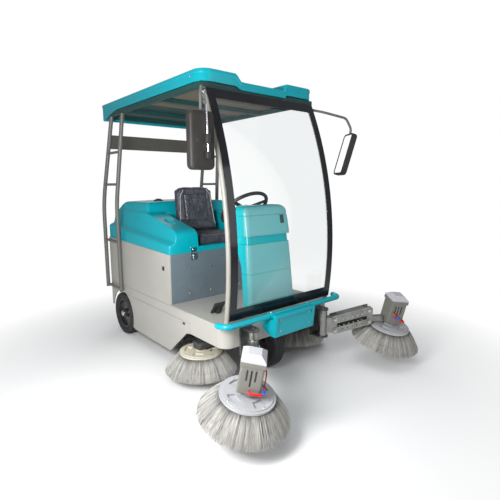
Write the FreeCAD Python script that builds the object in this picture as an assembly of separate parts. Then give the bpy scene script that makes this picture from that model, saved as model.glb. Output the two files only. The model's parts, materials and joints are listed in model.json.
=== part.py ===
import FreeCAD, Part
import os
from math import cos, pi, radians, sin, tan
from FreeCAD import Placement, Rotation, Vector

# Ride-on street sweeper with a canopy, a glass windscreen and four side brushes.
# Millimetres. X points forward, Y to the machine's left, Z up, with the ground at z = 0.
# The shapes are worked out about the machine's middle plane, and moved by `origin`
# when written, so that the frame's origin is the middle of the whole machine's footprint.
origin = Vector(234, 39, 0)

# Lower body
bodyHalf = 507
bodyRear = -950
bodyFront = 800
boxFront = 149
sideWall = 12
deckTop = 460
deckThick = 14
trayLow = 312
trayRear = 411
skirtLow = 100
skirtRearLow = 235
skirtFront = 120
archFront = 356
cornerRadius = 75
seamFront = 832
seamRear = 868
panelThick = 12
seatGap = 0.3
seamGap = 2

# Chassis frame under the deck
railY = 362
railWide = 36
railHigh = 45
frameFront = 780
frameRear = -925

# Rear wheels
rearAxleX = -722
wheelRadius = 188
tyreWide = 96
tyreWall = 58
wheelFace = 505
hubShaft = 14
shaftFit = 0.08

# Front wheel, in its steered fork
forkX = 600
frontTyreWide = 84
forkGap = 9
forkPlate = 10
kingPin = 20

# Main roller brush and its cover
rollerX = -170
rollerZ = 152
rollerRadius = 140
rollerCore = 60
rollerHalf = 300
rollerPin = 12
rollerTunnel = 172
tunnelWall = 6

# Hopper, drawn out to the rear
hopperFront = -430
hopperRear = -930
hopperHalf = 322
hopperFlange = 26
flangeThick = 6
runnerThick = 5
hopperLow = 105
hopperTop = 385
hopperWall = 8

# Moulded hood with the seat well
hoodHalf = 503
ledgeIn = 52
ledgeFrontTop = 925
ledgeRearTop = 1005
armTopFront = 1008
armTopRear = 1110
blockFront = -400
blockTop = 1200
wellHalf = 250
wellFloor = 872
wellBack = -330
hoodWall = 9
hingePin = 4
hingeEye = 8
hingeY = 330
hingeOut = 9

# Operator's place
seatHalf = 200
seatBackHalf = 165
seatBackTop = 1312
cushionFront = 100
cushionTop = 950
consoleHalf = 228
consoleTopHalf = 180
consoleTop = 1190
wheelCentre = Vector(396, 0, 1157)
wheelTilt = 40
wheelRing = 180
ringTube = 13
hubDrop = 20

# Windscreen: one bow of glass on a long arc, with a black border
screenArcX = -1683
screenArcZ = 864
screenArc = 2526
screenLow = 495
screenTop = 1913
screenHalf = 478
borderSide = 52
borderTop = 60
borderLow = 75
borderThick = 4
glassThick = 6

# Canopy
tubeRadius = 17
pillarY = 476
roofFront = 612
roofRear = -944
roofHalf = 512
roofLow = 1950
roofTop = 2030
roofWall = 8
roofCorner = 60
beamHigh = 32
scoopRight = -244
scoopLeft = 200
scoopDrop = 44
scoopRun = 330
ladderFoot = 531
ladderTop = 486
ladderOuter = -975
ladderInner = -680
ladderKnee = 1180
leanOuter = 180
leanInner = 105
rungs = (424, 844, 1343, 1613)
rungRadius = 11
crossLow = 1652
crossTop = 1768

# Bumper
barRadius = 19
barX = 868
barZ = 485
barHalf = 555
barReturn = 70
boxFace = 934
boxHalf = 186
boxLow = 350
boxTop = 500
boxMiddle = 425
plateHoleY = 150
plateHoleZ = 38
plateHole = 3.3
plateHoleDeep = 20

# Side brushes: the same brush in four places
plateRadius = 147
plateThick = 12
bristleRoot = 145
bristleTip = 247
bristleHigh = 132
kidneys = 4

# Front arms: a swing base, two perforated channels as a parallelogram, and a carrier
pivotX = 880
pivotY = 338
pivotPin = 12
armReach = 520
linkRoot = 85
linkLength = 266
linkRise = 12
rootLowZ = 270
linkSplit = 84
upperHigh = 62
lowerHigh = 46
linkWide = 70
linkWall = 4
linkPin = 6
openPinGap = 0.4
webStart = 28
lugRound = 16
swingRight = -44.4
swingLeft = 58.1
plateZ = 285
brushLean = 14
motorGap = 40
motorWide = 120
motorHigh = 158
lidHigh = 56
mountDisc = 60

# Middle brushes, on trailing arms under the deck
midX = 475
midY = 466
midPlateZ = 206
midHingeX = 205
midHingeZ = 330
midMotorY = 372

Z = Vector(0, 0, 1)
Y = Vector(0, 1, 0)


def box(low, high):
    return Part.makeBox(high[0] - low[0], high[1] - low[1], high[2] - low[2], Vector(*low))


def rod(start, end, radius):
    start, end = Vector(*start), Vector(*end)
    return Part.makeCylinder(radius, (end - start).Length, start, end - start)


def tube(start, end, outer, inner):
    return rod(start, end, outer).cut(rod(start, end, inner))


def fuse(shapes):
    whole = shapes[0]
    for other in shapes[1:]:
        whole = whole.fuse(other)
    return whole.removeSplitter()


def mirrored(shape):
    return shape.mirror(Vector(0, 0, 0), Y)


def loop(points):
    """A closed face from a list of corners."""
    corners = [Vector(*p) for p in points]
    return Part.Face(Part.makePolygon(corners + corners[:1]))


def sideProfile(points, y0, y1):
    """Extrudes a side outline of (x, z) corners from y0 to y1."""
    return loop([(x, y0, z) for x, z in points]).extrude(Vector(0, y1 - y0, 0))


def planSlab(x0, x1, half, low, high, radius, corners):
    """A slab with its upright edges rounded at the corners named, such as (1, -1)."""
    slab = box((x0, -half, low), (x1, half, high))
    picked = []
    for edge in slab.Edges:
        a, b = edge.Vertexes[0].Point, edge.Vertexes[1].Point
        upright = abs(a.x - b.x) < 1e-6 and abs(a.y - b.y) < 1e-6
        front = 1 if a.x > (x0 + x1) / 2 else -1
        left = 1 if a.y > 0 else -1
        if upright and (front, left) in corners:
            picked.append(edge)
    return slab.makeFillet(radius, picked) if picked else slab


def bentPath(points, radius):
    """Straight runs joined by tangent arcs, each as large as its runs allow."""
    points = [Vector(*p) for p in points]
    edges = []
    last = points[0]
    for before, corner, after in zip(points, points[1:], points[2:]):
        inward, outward = (before - corner), (after - corner)
        shorter = min(inward.Length, outward.Length)
        inward.normalize()
        outward.normalize()
        turn = pi - inward.getAngle(outward)
        reach = min(radius * tan(turn / 2), 0.45 * shorter)
        bend = reach / tan(turn / 2)
        middle = inward + outward
        middle.normalize()
        start, end = corner + inward * reach, corner + outward * reach
        mid = corner + middle * (bend / cos(turn / 2) - bend)
        edges.append(Part.LineSegment(last, start).toShape())
        edges.append(Part.Arc(start, mid, end).toShape())
        last = end
    edges.append(Part.LineSegment(last, points[-1]).toShape())
    return Part.Wire(edges)


def pipe(points, radius, bend=100):
    path = bentPath(points, bend)
    start, heading = Vector(*points[0]), Vector(*points[1]) - Vector(*points[0])
    ring = Part.Wire(Part.makeCircle(radius, start, heading))
    return path.makePipeShell([ring], True, True)


def arcPath(centreX, centreZ, radius, low, high, y):
    """The upright arc of the screen's bow, as an edge in the plane at y."""
    def point(z):
        return Vector(centreX + (radius ** 2 - (z - centreZ) ** 2) ** 0.5, y, z)
    return Part.Arc(point(low), point((low + high) / 2), point(high)).toShape()


def bowed(inset, thick, low, high, y0, y1):
    """A sheet that follows the screen's bow, its outer face `inset` behind the glass line."""
    outer = arcPath(screenArcX, screenArcZ, screenArc - inset, low, high, y0)
    inner = arcPath(screenArcX, screenArcZ, screenArc - inset - thick, low, high, y0)
    a0, a1 = outer.Vertexes[0].Point, outer.Vertexes[-1].Point
    b0, b1 = inner.Vertexes[0].Point, inner.Vertexes[-1].Point
    rim = [outer, Part.makeLine(a1, b1), inner, Part.makeLine(b0, a0)]
    face = Part.Face(Part.Wire(Part.__sortEdges__(rim)))
    return face.extrude(Vector(0, y1 - y0, 0))


def screenX(z, inset=0):
    return screenArcX + ((screenArc - inset) ** 2 - (z - screenArcZ) ** 2) ** 0.5


# Chassis

def chassisFrame():
    top = deckTop - deckThick - seatGap
    low = top - railHigh
    rail = box((frameRear, railY, low), (frameFront, railY + railWide, top))
    pieces = [rail, mirrored(rail)]
    for x in (frameRear, -405, 60, midHingeX + 60, frameFront - railWide):
        pieces.append(box((x, -railY - 1, low), (x + railWide, railY + 1, top)))
    pieces.append(box((forkX - 55, -railY - 1, low), (forkX + 55, railY + 1, top)))
    kingBore = rod((forkX, 0, low - 1), (forkX, 0, top + 1), kingPin + shaftFit)
    for side in (1, -1):
        pieces.append(stubAxle(side, low))
        pieces.append(midHanger(side, low))
        pieces.append(hopperRunner(side, low))
    return fuse(pieces).cut(kingBore)


def hopperRunner(side, low):
    """The angle under the rail that the hopper's flange slides on."""
    top = hopperTop - flangeThick - seatGap
    inner, outer = hopperHalf + 8, railY + 6
    runner = box((frameRear, inner, top - runnerThick), (hopperFront, outer, top))
    runner = runner.fuse(box((frameRear, outer - runnerThick, top - 1), (hopperFront, outer, low + 1)))
    return runner if side > 0 else mirrored(runner)


def stubAxle(side, low):
    """A hanger plate outside the hopper, with the wheel's shaft standing out of it."""
    inner, outer = side * (railY + 8), side * (railY + 22)
    y0, y1 = min(inner, outer), max(inner, outer)
    plate = sideProfile([(rearAxleX - 75, low + 1), (rearAxleX - 32, wheelRadius - 30),
                         (rearAxleX + 32, wheelRadius - 30), (rearAxleX + 75, low + 1)], y0, y1)
    boss = rod((rearAxleX, outer, wheelRadius), (rearAxleX, outer + side * 12, wheelRadius), 30)
    shaft = rod((rearAxleX, outer, wheelRadius),
                (rearAxleX, side * (wheelFace - 20), wheelRadius), hubShaft)
    return fuse([plate, boss, shaft])


def midHanger(side, low):
    """The ear that holds the pin of a middle brush's trailing arm."""
    y0 = side * (midMotorY + 12)
    ear = sideProfile([(midHingeX - 26, low + 1), (midHingeX - 18, midHingeZ - 16),
                       (midHingeX + 18, midHingeZ - 16), (midHingeX + 26, low + 1)],
                      min(y0, y0 + side * 10), max(y0, y0 + side * 10))
    pin = rod((midHingeX, y0, midHingeZ), (midHingeX, y0 - side * 62, midHingeZ), 9)
    return fuse([ear, pin])


def frontTray():
    """The moulded deck: a flat top with skirts round the front, open below."""
    corners = [(1, 1), (1, -1)]
    skin = planSlab(trayRear, bodyFront, bodyHalf, trayLow, deckTop, cornerRadius, corners)
    hollow = planSlab(trayRear - 1, bodyFront - sideWall, bodyHalf - sideWall, trayLow - 1,
                      deckTop - deckThick, cornerRadius - sideWall, corners)
    deck = box((bodyRear + 20, -bodyHalf + sideWall + seatGap, deckTop - deckThick),
               (trayRear + 1, bodyHalf - sideWall - seatGap, deckTop))
    return fuse([skin.cut(hollow), deck])


def sideSkin(side):
    """One side of the body: the panel above, the skirt and both wheel cut-outs below."""
    outline = [(bodyRear, skirtRearLow), (bodyRear, seamRear), (boxFront, seamFront),
               (boxFront, deckTop), (trayRear - seamGap, deckTop),
               (trayRear - seamGap, trayLow), (archFront, trayLow - 12),
               (skirtFront, skirtLow), (-480, skirtLow)]
    y0, y1 = side * (bodyHalf - sideWall), side * bodyHalf
    skin = sideProfile(outline, min(y0, y1), max(y0, y1))
    arch = rod((rearAxleX, y0 - side * 5, wheelRadius), (rearAxleX, y1 + side * 5, wheelRadius),
               wheelRadius + 26)
    crease = sideProfile([(bodyRear - 1, 383), (bodyRear - 1, 388), (trayRear, 388), (trayRear, 383)],
                         min(y1, y1 - side * 3), max(y1, y1 - side * 3))
    seam = sideProfile([(bodyRear - 1, 453), (bodyRear - 1, 457), (trayRear, 457), (trayRear, 453)],
                       min(y1, y1 - side * 3), max(y1, y1 - side * 3))
    return skin.cut(arch).cut(crease).cut(seam)


def hingeLine():
    """A point on the axis of the hood's hinge, at the top rear edge of the body."""
    return Vector(bodyRear - hingeOut, 0, seamRear - 2)


def frontPanel():
    half = bodyHalf - sideWall - seatGap
    return box((boxFront - panelThick, -half, deckTop), (boxFront, half, seamFront))


def rearPanel():
    """The fixed panel above the hopper, with its row of cooling slots."""
    half = bodyHalf - sideWall - seatGap
    panel = box((bodyRear, -half, hopperTop + 30), (bodyRear + panelThick, half, seamRear - seamGap))
    low = deckTop + 90
    for row in range(6):
        z = low + row * 34
        panel = panel.cut(box((bodyRear - 1, -180, z), (bodyRear + panelThick + 1, 180, z + 12)))
    hinge = hingeLine()
    pieces = [panel]
    for y in (-hingeY, hingeY):
        for ear in (y - 34, y + 20.5):
            eye = rod((hinge.x, ear, hinge.z), (hinge.x, ear + 13.5, hinge.z), hingeEye)
            leaf = box((hinge.x, ear, hinge.z - 40), (bodyRear + 1, ear + 13.5, hinge.z - 3))
            pieces += [eye, leaf]
        pieces.append(rod((hinge.x, y - 34, hinge.z), (hinge.x, y + 34, hinge.z), hingePin))
    return fuse(pieces)


def batteryBlock():
    return box((-640, -330, deckTop + seatGap), (60, 330, deckTop + 330))


# Rear wheels

def rearTyre(side):
    outer, inner = side * wheelFace, side * (wheelFace - tyreWide)
    return tyre(rearAxleX, min(outer, inner), tyreWide)


def tyre(x, y, wide):
    """A solid tyre: a band with rounded shoulders."""
    rim, shoulder = wheelRadius - tyreWall, 14
    outline = [(0, rim), (0, wheelRadius - shoulder), (shoulder * 0.6, wheelRadius),
               (wide - shoulder * 0.6, wheelRadius), (wide, wheelRadius - shoulder), (wide, rim)]
    face = loop([(x, y + across, wheelRadius + out) for across, out in outline])
    return face.revolve(Vector(x, y, wheelRadius), Y, 360)


def rearRim(side):
    """A dished disc with its rim bead, and the domed cap over the shaft."""
    outer = side * (wheelFace - 8)
    inner = side * (wheelFace - tyreWide + 6)
    radius = wheelRadius - tyreWall - seatGap
    drum = tube((rearAxleX, inner, wheelRadius), (rearAxleX, outer, wheelRadius), radius, radius - 12)
    disc = rod((rearAxleX, side * (wheelFace - 44), wheelRadius),
               (rearAxleX, side * (wheelFace - 32), wheelRadius), radius - 11)
    hub = rod((rearAxleX, side * (wheelFace - 80), wheelRadius),
              (rearAxleX, side * (wheelFace - 12), wheelRadius), 40)
    cap = Part.makeSphere(36, Vector(rearAxleX, side * (wheelFace - 30), wheelRadius))
    face = side * (wheelFace - 12)
    keep = box((rearAxleX - 60, min(face, side * wheelFace), wheelRadius - 60),
               (rearAxleX + 60, max(face, side * wheelFace), wheelRadius + 60))
    bore = rod((rearAxleX, side * (wheelFace - 81), wheelRadius),
               (rearAxleX, side * (wheelFace - 19), wheelRadius), hubShaft + shaftFit)
    return fuse([drum, disc, hub, cap.common(keep)]).cut(bore)


# Front wheel

def steerFork():
    """A crown plate on the king pin, with a leg down each side of the wheel."""
    crownTop = deckTop - deckThick - seatGap - railHigh - 1
    crownLow = crownTop - 12
    half = frontTyreWide / 2 + forkGap + forkPlate
    crown = box((forkX - 55, -half, crownLow), (forkX + 55, half, crownTop))
    pin = rod((forkX, 0, crownLow), (forkX, 0, deckTop - deckThick - 4), kingPin)
    pieces = [crown, pin]
    for side in (1, -1):
        y0, y1 = side * (half - forkPlate), side * half
        leg = sideProfile([(forkX - 50, crownLow + 1), (forkX - 26, wheelRadius - 24),
                           (forkX + 26, wheelRadius - 24), (forkX + 50, crownLow + 1)],
                          min(y0, y1), max(y0, y1))
        pieces.append(leg)
    pieces.append(rod((forkX, -half - 6, wheelRadius), (forkX, half + 6, wheelRadius), hubShaft))
    return fuse(pieces)


def frontTyre():
    return tyre(forkX, -frontTyreWide / 2, frontTyreWide)


def frontRim():
    half = frontTyreWide / 2
    radius = wheelRadius - tyreWall - seatGap
    drum = tube((forkX, -half + 6, wheelRadius), (forkX, half - 6, wheelRadius), radius, radius - 12)
    disc = rod((forkX, -8, wheelRadius), (forkX, 8, wheelRadius), radius - 11)
    hub = rod((forkX, -half + 2, wheelRadius), (forkX, half - 2, wheelRadius), 36)
    bore = rod((forkX, -half - 1, wheelRadius), (forkX, half + 1, wheelRadius), hubShaft + shaftFit)
    return fuse([drum, disc, hub]).cut(bore)


# Sweeping gear under the body

def rollerHousing():
    """The tunnel over the roller: an arch with end plates, open to the ground."""
    half = rollerHalf + 22
    outer = rollerTunnel + tunnelWall
    shell = rod((rollerX, -half, rollerZ), (rollerX, half, rollerZ), outer)
    skirt = box((rollerX - outer, -half, skirtLow), (rollerX + outer, half, rollerZ))
    hollow = rod((rollerX, -half + tunnelWall, rollerZ), (rollerX, half - tunnelWall, rollerZ),
                 rollerTunnel)
    mouth = box((rollerX - rollerTunnel, -half + tunnelWall, -10),
                (rollerX + rollerTunnel, half - tunnelWall, rollerZ))
    below = box((rollerX - 400, -half - 10, -200), (rollerX + 400, half + 10, skirtLow))
    arch = fuse([shell, skirt]).cut(hollow).cut(mouth).cut(below)
    low = deckTop - deckThick - seatGap - railHigh
    pin = rod((rollerX, half - tunnelWall, rollerZ), (rollerX, rollerHalf - 20, rollerZ), rollerPin)
    outside = railY - seatGap
    foot = box((rollerX - 60, 260, low - 75), (rollerX + 60, outside, low - 69))
    riser = box((rollerX - 60, outside - 7, low - 75), (rollerX + 60, outside, low + 30))
    hung = fuse([pin, foot, riser])
    return fuse([arch, hung, mirrored(hung)])


def rollerBrush():
    """The roller: a core with eight straight ribs of bristle."""
    core = rod((rollerX, -rollerHalf, rollerZ), (rollerX, rollerHalf, rollerZ), rollerCore)
    ribs = []
    for i in range(8):
        angle = 360 / 8 * i
        rib = box((rollerX + rollerCore - 6, -rollerHalf + 4, rollerZ - 15),
                  (rollerX + rollerRadius - 2, rollerHalf - 4, rollerZ + 15))
        rib.rotate(Vector(rollerX, 0, rollerZ), Y, angle)
        ribs.append(rib)
    bore = rod((rollerX, -rollerHalf - 1, rollerZ), (rollerX, rollerHalf + 1, rollerZ),
               rollerPin + shaftFit)
    return fuse([core] + ribs).cut(bore)


def hopper():
    """An open-topped bin with a sloped mouth to the roller and a pull at the rear."""
    outer = sideProfile([(hopperRear, hopperLow + 40), (hopperRear, hopperTop),
                         (hopperFront, hopperTop), (hopperFront, hopperLow + 60),
                         (hopperFront - 40, hopperLow), (hopperRear + 40, hopperLow)],
                        -hopperHalf, hopperHalf)
    w = hopperWall
    inner = sideProfile([(hopperRear + w, hopperLow + 44), (hopperRear + w, hopperTop + 1),
                         (hopperFront - w, hopperTop + 1), (hopperFront - w, hopperLow + 64),
                         (hopperFront - 44, hopperLow + w), (hopperRear + 44, hopperLow + w)],
                        -hopperHalf + w, hopperHalf - w)
    rim = box((hopperRear, hopperHalf - w, hopperTop - flangeThick),
              (hopperFront, hopperHalf + hopperFlange, hopperTop))
    pull = pipe([(hopperRear + 4, -110, 290), (hopperRear - 38, -110, 290),
                 (hopperRear - 38, 110, 290), (hopperRear + 4, 110, 290)], 9, 25)
    return fuse([outer.cut(inner), pull, rim, mirrored(rim)])


# Hood and seat

def hoodForm(inset, drop):
    """The hood's outer form; a smaller one, by `inset`, makes the hollow."""
    half = hoodHalf - inset
    front = boxFront - 1 - inset
    rear = bodyRear + inset
    low = seamFront + seatGap - drop
    lowRear = seamRear + seatGap - drop
    ledge = sideProfile([(rear, lowRear), (rear, ledgeRearTop - inset),
                         (front, ledgeFrontTop - inset), (front, low)], -half, half)
    arm = sideProfile([(rear, lowRear), (rear, armTopRear - inset), (blockFront, armTopRear - inset),
                       (front - 60, armTopFront - inset), (front, armTopFront - 55 - inset),
                       (front, low)], -half + ledgeIn, half - ledgeIn)
    block = box((rear, -half + ledgeIn, lowRear), (blockFront - inset, half - ledgeIn, blockTop - inset))
    return fuse([ledge, arm, block])


def wellForm(inset, rise):
    """The space taken out for the seat, between the arms."""
    half = wellHalf + inset
    seat = box((wellBack - inset, -half, wellFloor - inset), (boxFront + 50, half, blockTop + rise))
    return seat


def hood():
    shell = hoodForm(0, 0).cut(hoodForm(hoodWall, 20))
    well = wellForm(0, 200)
    lining = wellForm(hoodWall, 0).common(hoodForm(0, 0)).cut(well)
    pieces = [shell.cut(well), lining]
    hinge = hingeLine()
    for y in (-hingeY, hingeY):
        eye = rod((hinge.x, y - 20, hinge.z), (hinge.x, y + 20, hinge.z), hingeEye)
        leaf = box((hinge.x, y - 20, seamRear + seatGap), (bodyRear + 1, y + 20, hinge.z + 40))
        pieces += [eye, leaf]
    bore = rod((hinge.x, -bodyHalf, hinge.z), (hinge.x, bodyHalf, hinge.z), hingePin + shaftFit)
    return fuse(pieces).cut(bore)


def seatCushion():
    pad = box((wellBack + 40, -seatHalf, wellFloor + seatGap), (cushionFront, seatHalf, cushionTop))
    return pad.makeFillet(18, [e for e in pad.Edges if e.BoundBox.ZMin > wellFloor + 5])


def seatBack():
    """The backrest leans back a little over the rear edge of the cushion."""
    low = cushionTop + seatGap
    lean = 40
    outline = [(wellBack + 40, low), (wellBack + 122, low), (wellBack + 105 - lean, seatBackTop),
               (wellBack + 30 - lean, seatBackTop)]
    back = sideProfile(outline, -seatBackHalf, seatBackHalf)
    return back.makeFillet(22, [e for e in back.Edges if e.BoundBox.ZMin > low + 40])


def beaconBase():
    return rod((-530, 0, blockTop + seatGap), (-530, 0, blockTop + 22), 42)


def beaconLens():
    low = blockTop + 22 + seatGap
    lens = Part.makeCone(36, 30, 62, Vector(-530, 0, low), Z)
    return lens.makeFillet(10, [e for e in lens.Edges if e.BoundBox.ZMin > low + 50])


# Operator's place

def console():
    """A tall moulded column behind the glass, thin at the foot and deep at the dash."""
    top = consoleTop
    outline = [(632, deckTop + seatGap), (712, deckTop + seatGap), (700, 620), (668, 980),
               (620, top - 30), (600, top), (520, top), (432, 1105), (418, 1000), (520, 900),
               (585, 780)]
    column = sideProfile(outline, -consoleHalf, consoleHalf)
    low, beyond = deckTop - 5, consoleHalf + 10
    wedge = loop([(300, consoleHalf, low), (300, beyond, low), (300, beyond, top + 10),
                  (300, consoleTopHalf, top + 10)]).extrude(Vector(600, 0, 0))
    return column.cut(wedge).cut(mirrored(wedge))


def steeringColumn():
    """The tube from the dash up to the wheel's hub, with its switch block."""
    up = Vector(-sin(radians(wheelTilt)), 0, cos(radians(wheelTilt)))
    hub = wheelCentre - up * (hubDrop + seatGap)
    foot = hub - up * 100
    shaft = Part.makeCylinder(24, 100, foot, up)
    block = box((-30, -62, -18), (30, 62, 18))
    block.Placement = Placement(hub - up * 40, Rotation(Y, -wheelTilt))
    return fuse([shaft, block]).cut(console())


def steeringWheel():
    """A ring with three spokes to a hub boss."""
    ring = Part.makeTorus(wheelRing, ringTube)
    hub = Part.makeCylinder(34, 30, Vector(0, 0, -hubDrop))
    pieces = [ring, hub]
    for angle in (90, 210, 330):
        spoke = box((20, -13, -6), (wheelRing - 2, 13, 4))
        spoke.rotate(Vector(0, 0, 0), Z, angle + 90)
        pieces.append(spoke)
    wheel = fuse(pieces)
    wheel.Placement = Placement(wheelCentre, Rotation(Y, -wheelTilt))
    return wheel


def brakePedal():
    pad = box((0, -45, 0), (12, 45, 95))
    pad = pad.makeFillet(4, pad.Edges)
    pad.Placement = Placement(Vector(505, -360, deckTop + 8), Rotation(Y, 35))
    stem = box((515, -368, deckTop + seatGap), (548, -352, deckTop + 40))
    return fuse([pad, stem])


# Windscreen and canopy

def windscreenGlass():
    return bowed(borderThick + seatGap, glassThick, screenLow, screenTop, -screenHalf, screenHalf)


def windscreenFrame():
    sheet = bowed(0, borderThick, screenLow, screenTop, -screenHalf, screenHalf)
    window = box((0, -screenHalf + borderSide, screenLow + borderLow),
                 (1200, screenHalf - borderSide, screenTop - borderTop))
    return sheet.cut(window)


def frontPillars():
    """Two bowed tubes just inside the glass, from the deck to the canopy's frame."""
    inset = borderThick + glassThick + 2 * seatGap + tubeRadius
    low, high = deckTop + seatGap, roofLow - beamHigh - seatGap
    path = Part.Wire(arcPath(screenArcX, screenArcZ, screenArc - inset, low - 20, high + 20, pillarY))
    foot = path.Edges[0].valueAt(path.Edges[0].FirstParameter)
    heading = path.Edges[0].tangentAt(path.Edges[0].FirstParameter)
    tubeShape = path.makePipeShell([Part.Wire(Part.makeCircle(tubeRadius, foot, heading))], True, True)
    pillar = tubeShape.common(box((0, 0, low), (barX, bodyHalf, high)))
    return Part.makeCompound([pillar, mirrored(pillar)])


def ladderPoints(x, lean, side):
    return [(x, side * ladderFoot, 400), (x, side * ladderFoot, ladderKnee),
            (x + lean, side * ladderTop, roofLow - beamHigh + 10)]


def ladderShare(z):
    """How far up its leaning part a ladder is at height z, from 0 at the knee to 1 at the top."""
    return max(0, (z - ladderKnee) / (roofLow - beamHigh - ladderKnee))


def rearLadder(side):
    """Two bent tubes with rungs between them, bolted to the body's side."""
    pieces = [pipe(ladderPoints(ladderOuter, leanOuter, side), tubeRadius, 1200),
              pipe(ladderPoints(ladderInner, leanInner, side), tubeRadius, 1200)]
    for z in rungs:
        share = ladderShare(z)
        y = side * (ladderFoot + (ladderTop - ladderFoot) * share)
        rear, front = ladderOuter + leanOuter * share, ladderInner + leanInner * share
        pieces.append(rod((rear, y, z), (front, y, z), rungRadius))
    for x, z in ((ladderInner, rungs[0]), (ladderInner, 760), (ladderOuter + 60, rungs[0]),
                 (ladderOuter + 60, rungs[1])):
        pieces.append(rod((x, side * (bodyHalf + seatGap), z), (x, side * ladderFoot, z), 13))
    under = box((roofRear - 100, -700, 0), (0, 700, roofLow - beamHigh - seatGap))
    return fuse(pieces).common(under)


def rearCrossPlate():
    """A plate across the back between the two ladders."""
    ends = []
    for z in (crossLow, crossTop):
        share = ladderShare(z)
        half = ladderFoot + (ladderTop - ladderFoot) * share - tubeRadius - seatGap
        ends.append((ladderOuter + leanOuter * share, half, z))
    (x0, half0, z0), (x1, half1, z1) = ends
    face = loop([(x0, -half0, z0), (x0, half0, z0), (x1, half1, z1), (x1, -half1, z1)])
    return face.extrude(Vector(5, 0, 0))


def roofForm(inset):
    """The canopy's outer form, with the scooped middle of its front edge."""
    corners = [(1, 1), (1, -1), (-1, 1), (-1, -1)]
    slab = planSlab(roofRear + inset, roofFront - inset, roofHalf - inset, roofLow - 5 * (inset > 0),
                    roofTop - inset, roofCorner - inset, corners)
    top = roofTop - inset
    ramp = scoopDrop / scoopRun
    scoop = sideProfile([(roofFront - scoopRun, top), (roofFront + 10, top - scoopDrop - 10 * ramp),
                         (roofFront + 10, top + 20), (roofFront - scoopRun, top + 20)],
                        scoopRight, scoopLeft)
    return slab.cut(scoop)


def roof():
    return roofForm(0).cut(roofForm(roofWall))


def roofFrame():
    """Two long beams and four across, under the canopy."""
    low, high = roofLow - beamHigh, roofLow - seatGap
    half = ladderTop - 14
    pieces = []
    for side in (1, -1):
        y0, y1 = side * half, side * (half + 34)
        pieces.append(box((roofRear + 10, min(y0, y1), low), (roofFront - 20, max(y0, y1), high)))
    for x in (roofRear + 10, -560, 20, roofFront - 60):
        pieces.append(box((x, -half + seatGap, low), (x + 40, half - seatGap, high)))
    return Part.makeCompound(pieces)


# Bumper and mirrors

def bumperBar():
    points = [(barX - barReturn, -barHalf, barZ), (barX, -barHalf + 25, barZ),
              (barX, barHalf - 25, barZ), (barX - barReturn, barHalf, barZ)]
    bar = pipe(points, barRadius, 45)
    ends = [Part.makeSphere(barRadius, Vector(barX - barReturn, side * barHalf, barZ)) for side in (1, -1)]
    return fuse([bar] + ends)


def bumperBox():
    """The box under the bar, with a framed panel in its face and an arm back to the frame."""
    backX = bodyFront + seatGap
    body = sideProfile([(backX, boxLow + 40), (backX, 445), (barX - 30, 445), (barX - 30, barZ - barRadius - 3),
                        (barX + 28, barZ - barRadius - 3), (barX + 28, boxTop), (boxFace - 6, boxTop),
                        (boxFace, boxTop - 8), (boxFace - 14, boxLow), (boxFace - 60, boxLow)],
                       -boxHalf, boxHalf)
    recess = box((boxFace - 12, -boxHalf + 22, boxLow + 20), (boxFace + 10, boxHalf - 22, boxTop - 24))
    body = body.cut(recess)
    for y in (-plateHoleY, plateHoleY):
        for z in (boxMiddle - plateHoleZ, boxMiddle + plateHoleZ):
            body = body.cut(rod((boxFace - 12 - plateHoleDeep, y, z), (boxFace, y, z), plateHole))
    saddle = rod((barX, -boxHalf - 1, barZ), (barX, boxHalf + 1, barZ), barRadius + seatGap)
    clips = []
    for side in (1, -1):
        y0, y1 = side * (boxHalf - 24), side * boxHalf
        clips.append(tube((barX, min(y0, y1), barZ), (barX, max(y0, y1), barZ), barRadius + 5, barRadius + seatGap))
    return fuse([body.cut(saddle)] + clips)


def mirrorArms():
    """A bent rod on each side, clamped to the pillar by a collar that stops short of the glass."""
    paths = {-1: [(594, -492, 1888), (655, -540, 1905), (735, -600, 1850), (748, -612, 1640)],
             1: [(594, 492, 1888), (660, 560, 1868), (700, 790, 1840), (715, 838, 1760),
                 (700, 800, 1560)]}
    depth = borderThick + glassThick + 2 * seatGap
    inset = depth + tubeRadius
    grip = Vector(screenX(1888, inset), -pillarY, 1888)
    along = Vector(screenX(1908, inset) - screenX(1868, inset), 0, 40).normalize() * 15
    screen = bowed(-30, 30 + depth, screenTop - 120, screenTop + 50, -screenHalf - 1, screenHalf + 1)
    collar = tube(grip - along, grip + along, tubeRadius + 7, tubeRadius + seatGap).cut(screen)
    pillar = rod(grip - along * 3, grip + along * 3, tubeRadius + seatGap)
    arms = []
    for side, path in paths.items():
        clamp, post = (collar, pillar) if side < 0 else (mirrored(collar), mirrored(pillar))
        arms.append(fuse([pipe(path, 9, 60).cut(post), clamp]))
    return Part.makeCompound(arms)


def mirrorHead(centre, half, high, deep, turn):
    head = box((-deep / 2, -half, -high / 2), (deep / 2, half, high / 2))
    head = head.makeFillet(22, [e for e in head.Edges if e.Length < deep + 1])
    face = box((-deep / 2 - 1, -half + 10, -high / 2 + 10), (-deep / 2 + 6, half - 10, high / 2 - 10))
    head = head.cut(face)
    head.Placement = Placement(centre, Rotation(Z, turn))
    return head


def mirrorHeads():
    right = mirrorHead(Vector(748, -611, 1582), 84, 328, 52, 0)
    left = mirrorHead(Vector(700, 770, 1515), 84, 240, 52, 0)
    return Part.makeCompound([right.cut(mirrorArms()), left.cut(mirrorArms())])


# Front brush arms. Each is drawn along +X from its pivot, then swung and mirrored into place.

def swung(shape, angle, side):
    shape = shape.copy()
    shape.rotate(Vector(0, 0, 0), Z, angle)
    shape.translate(Vector(pivotX, side * pivotY, 0))
    return shape


def tipRise():
    return linkLength * sin(radians(linkRise)), linkLength * cos(radians(linkRise))


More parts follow.
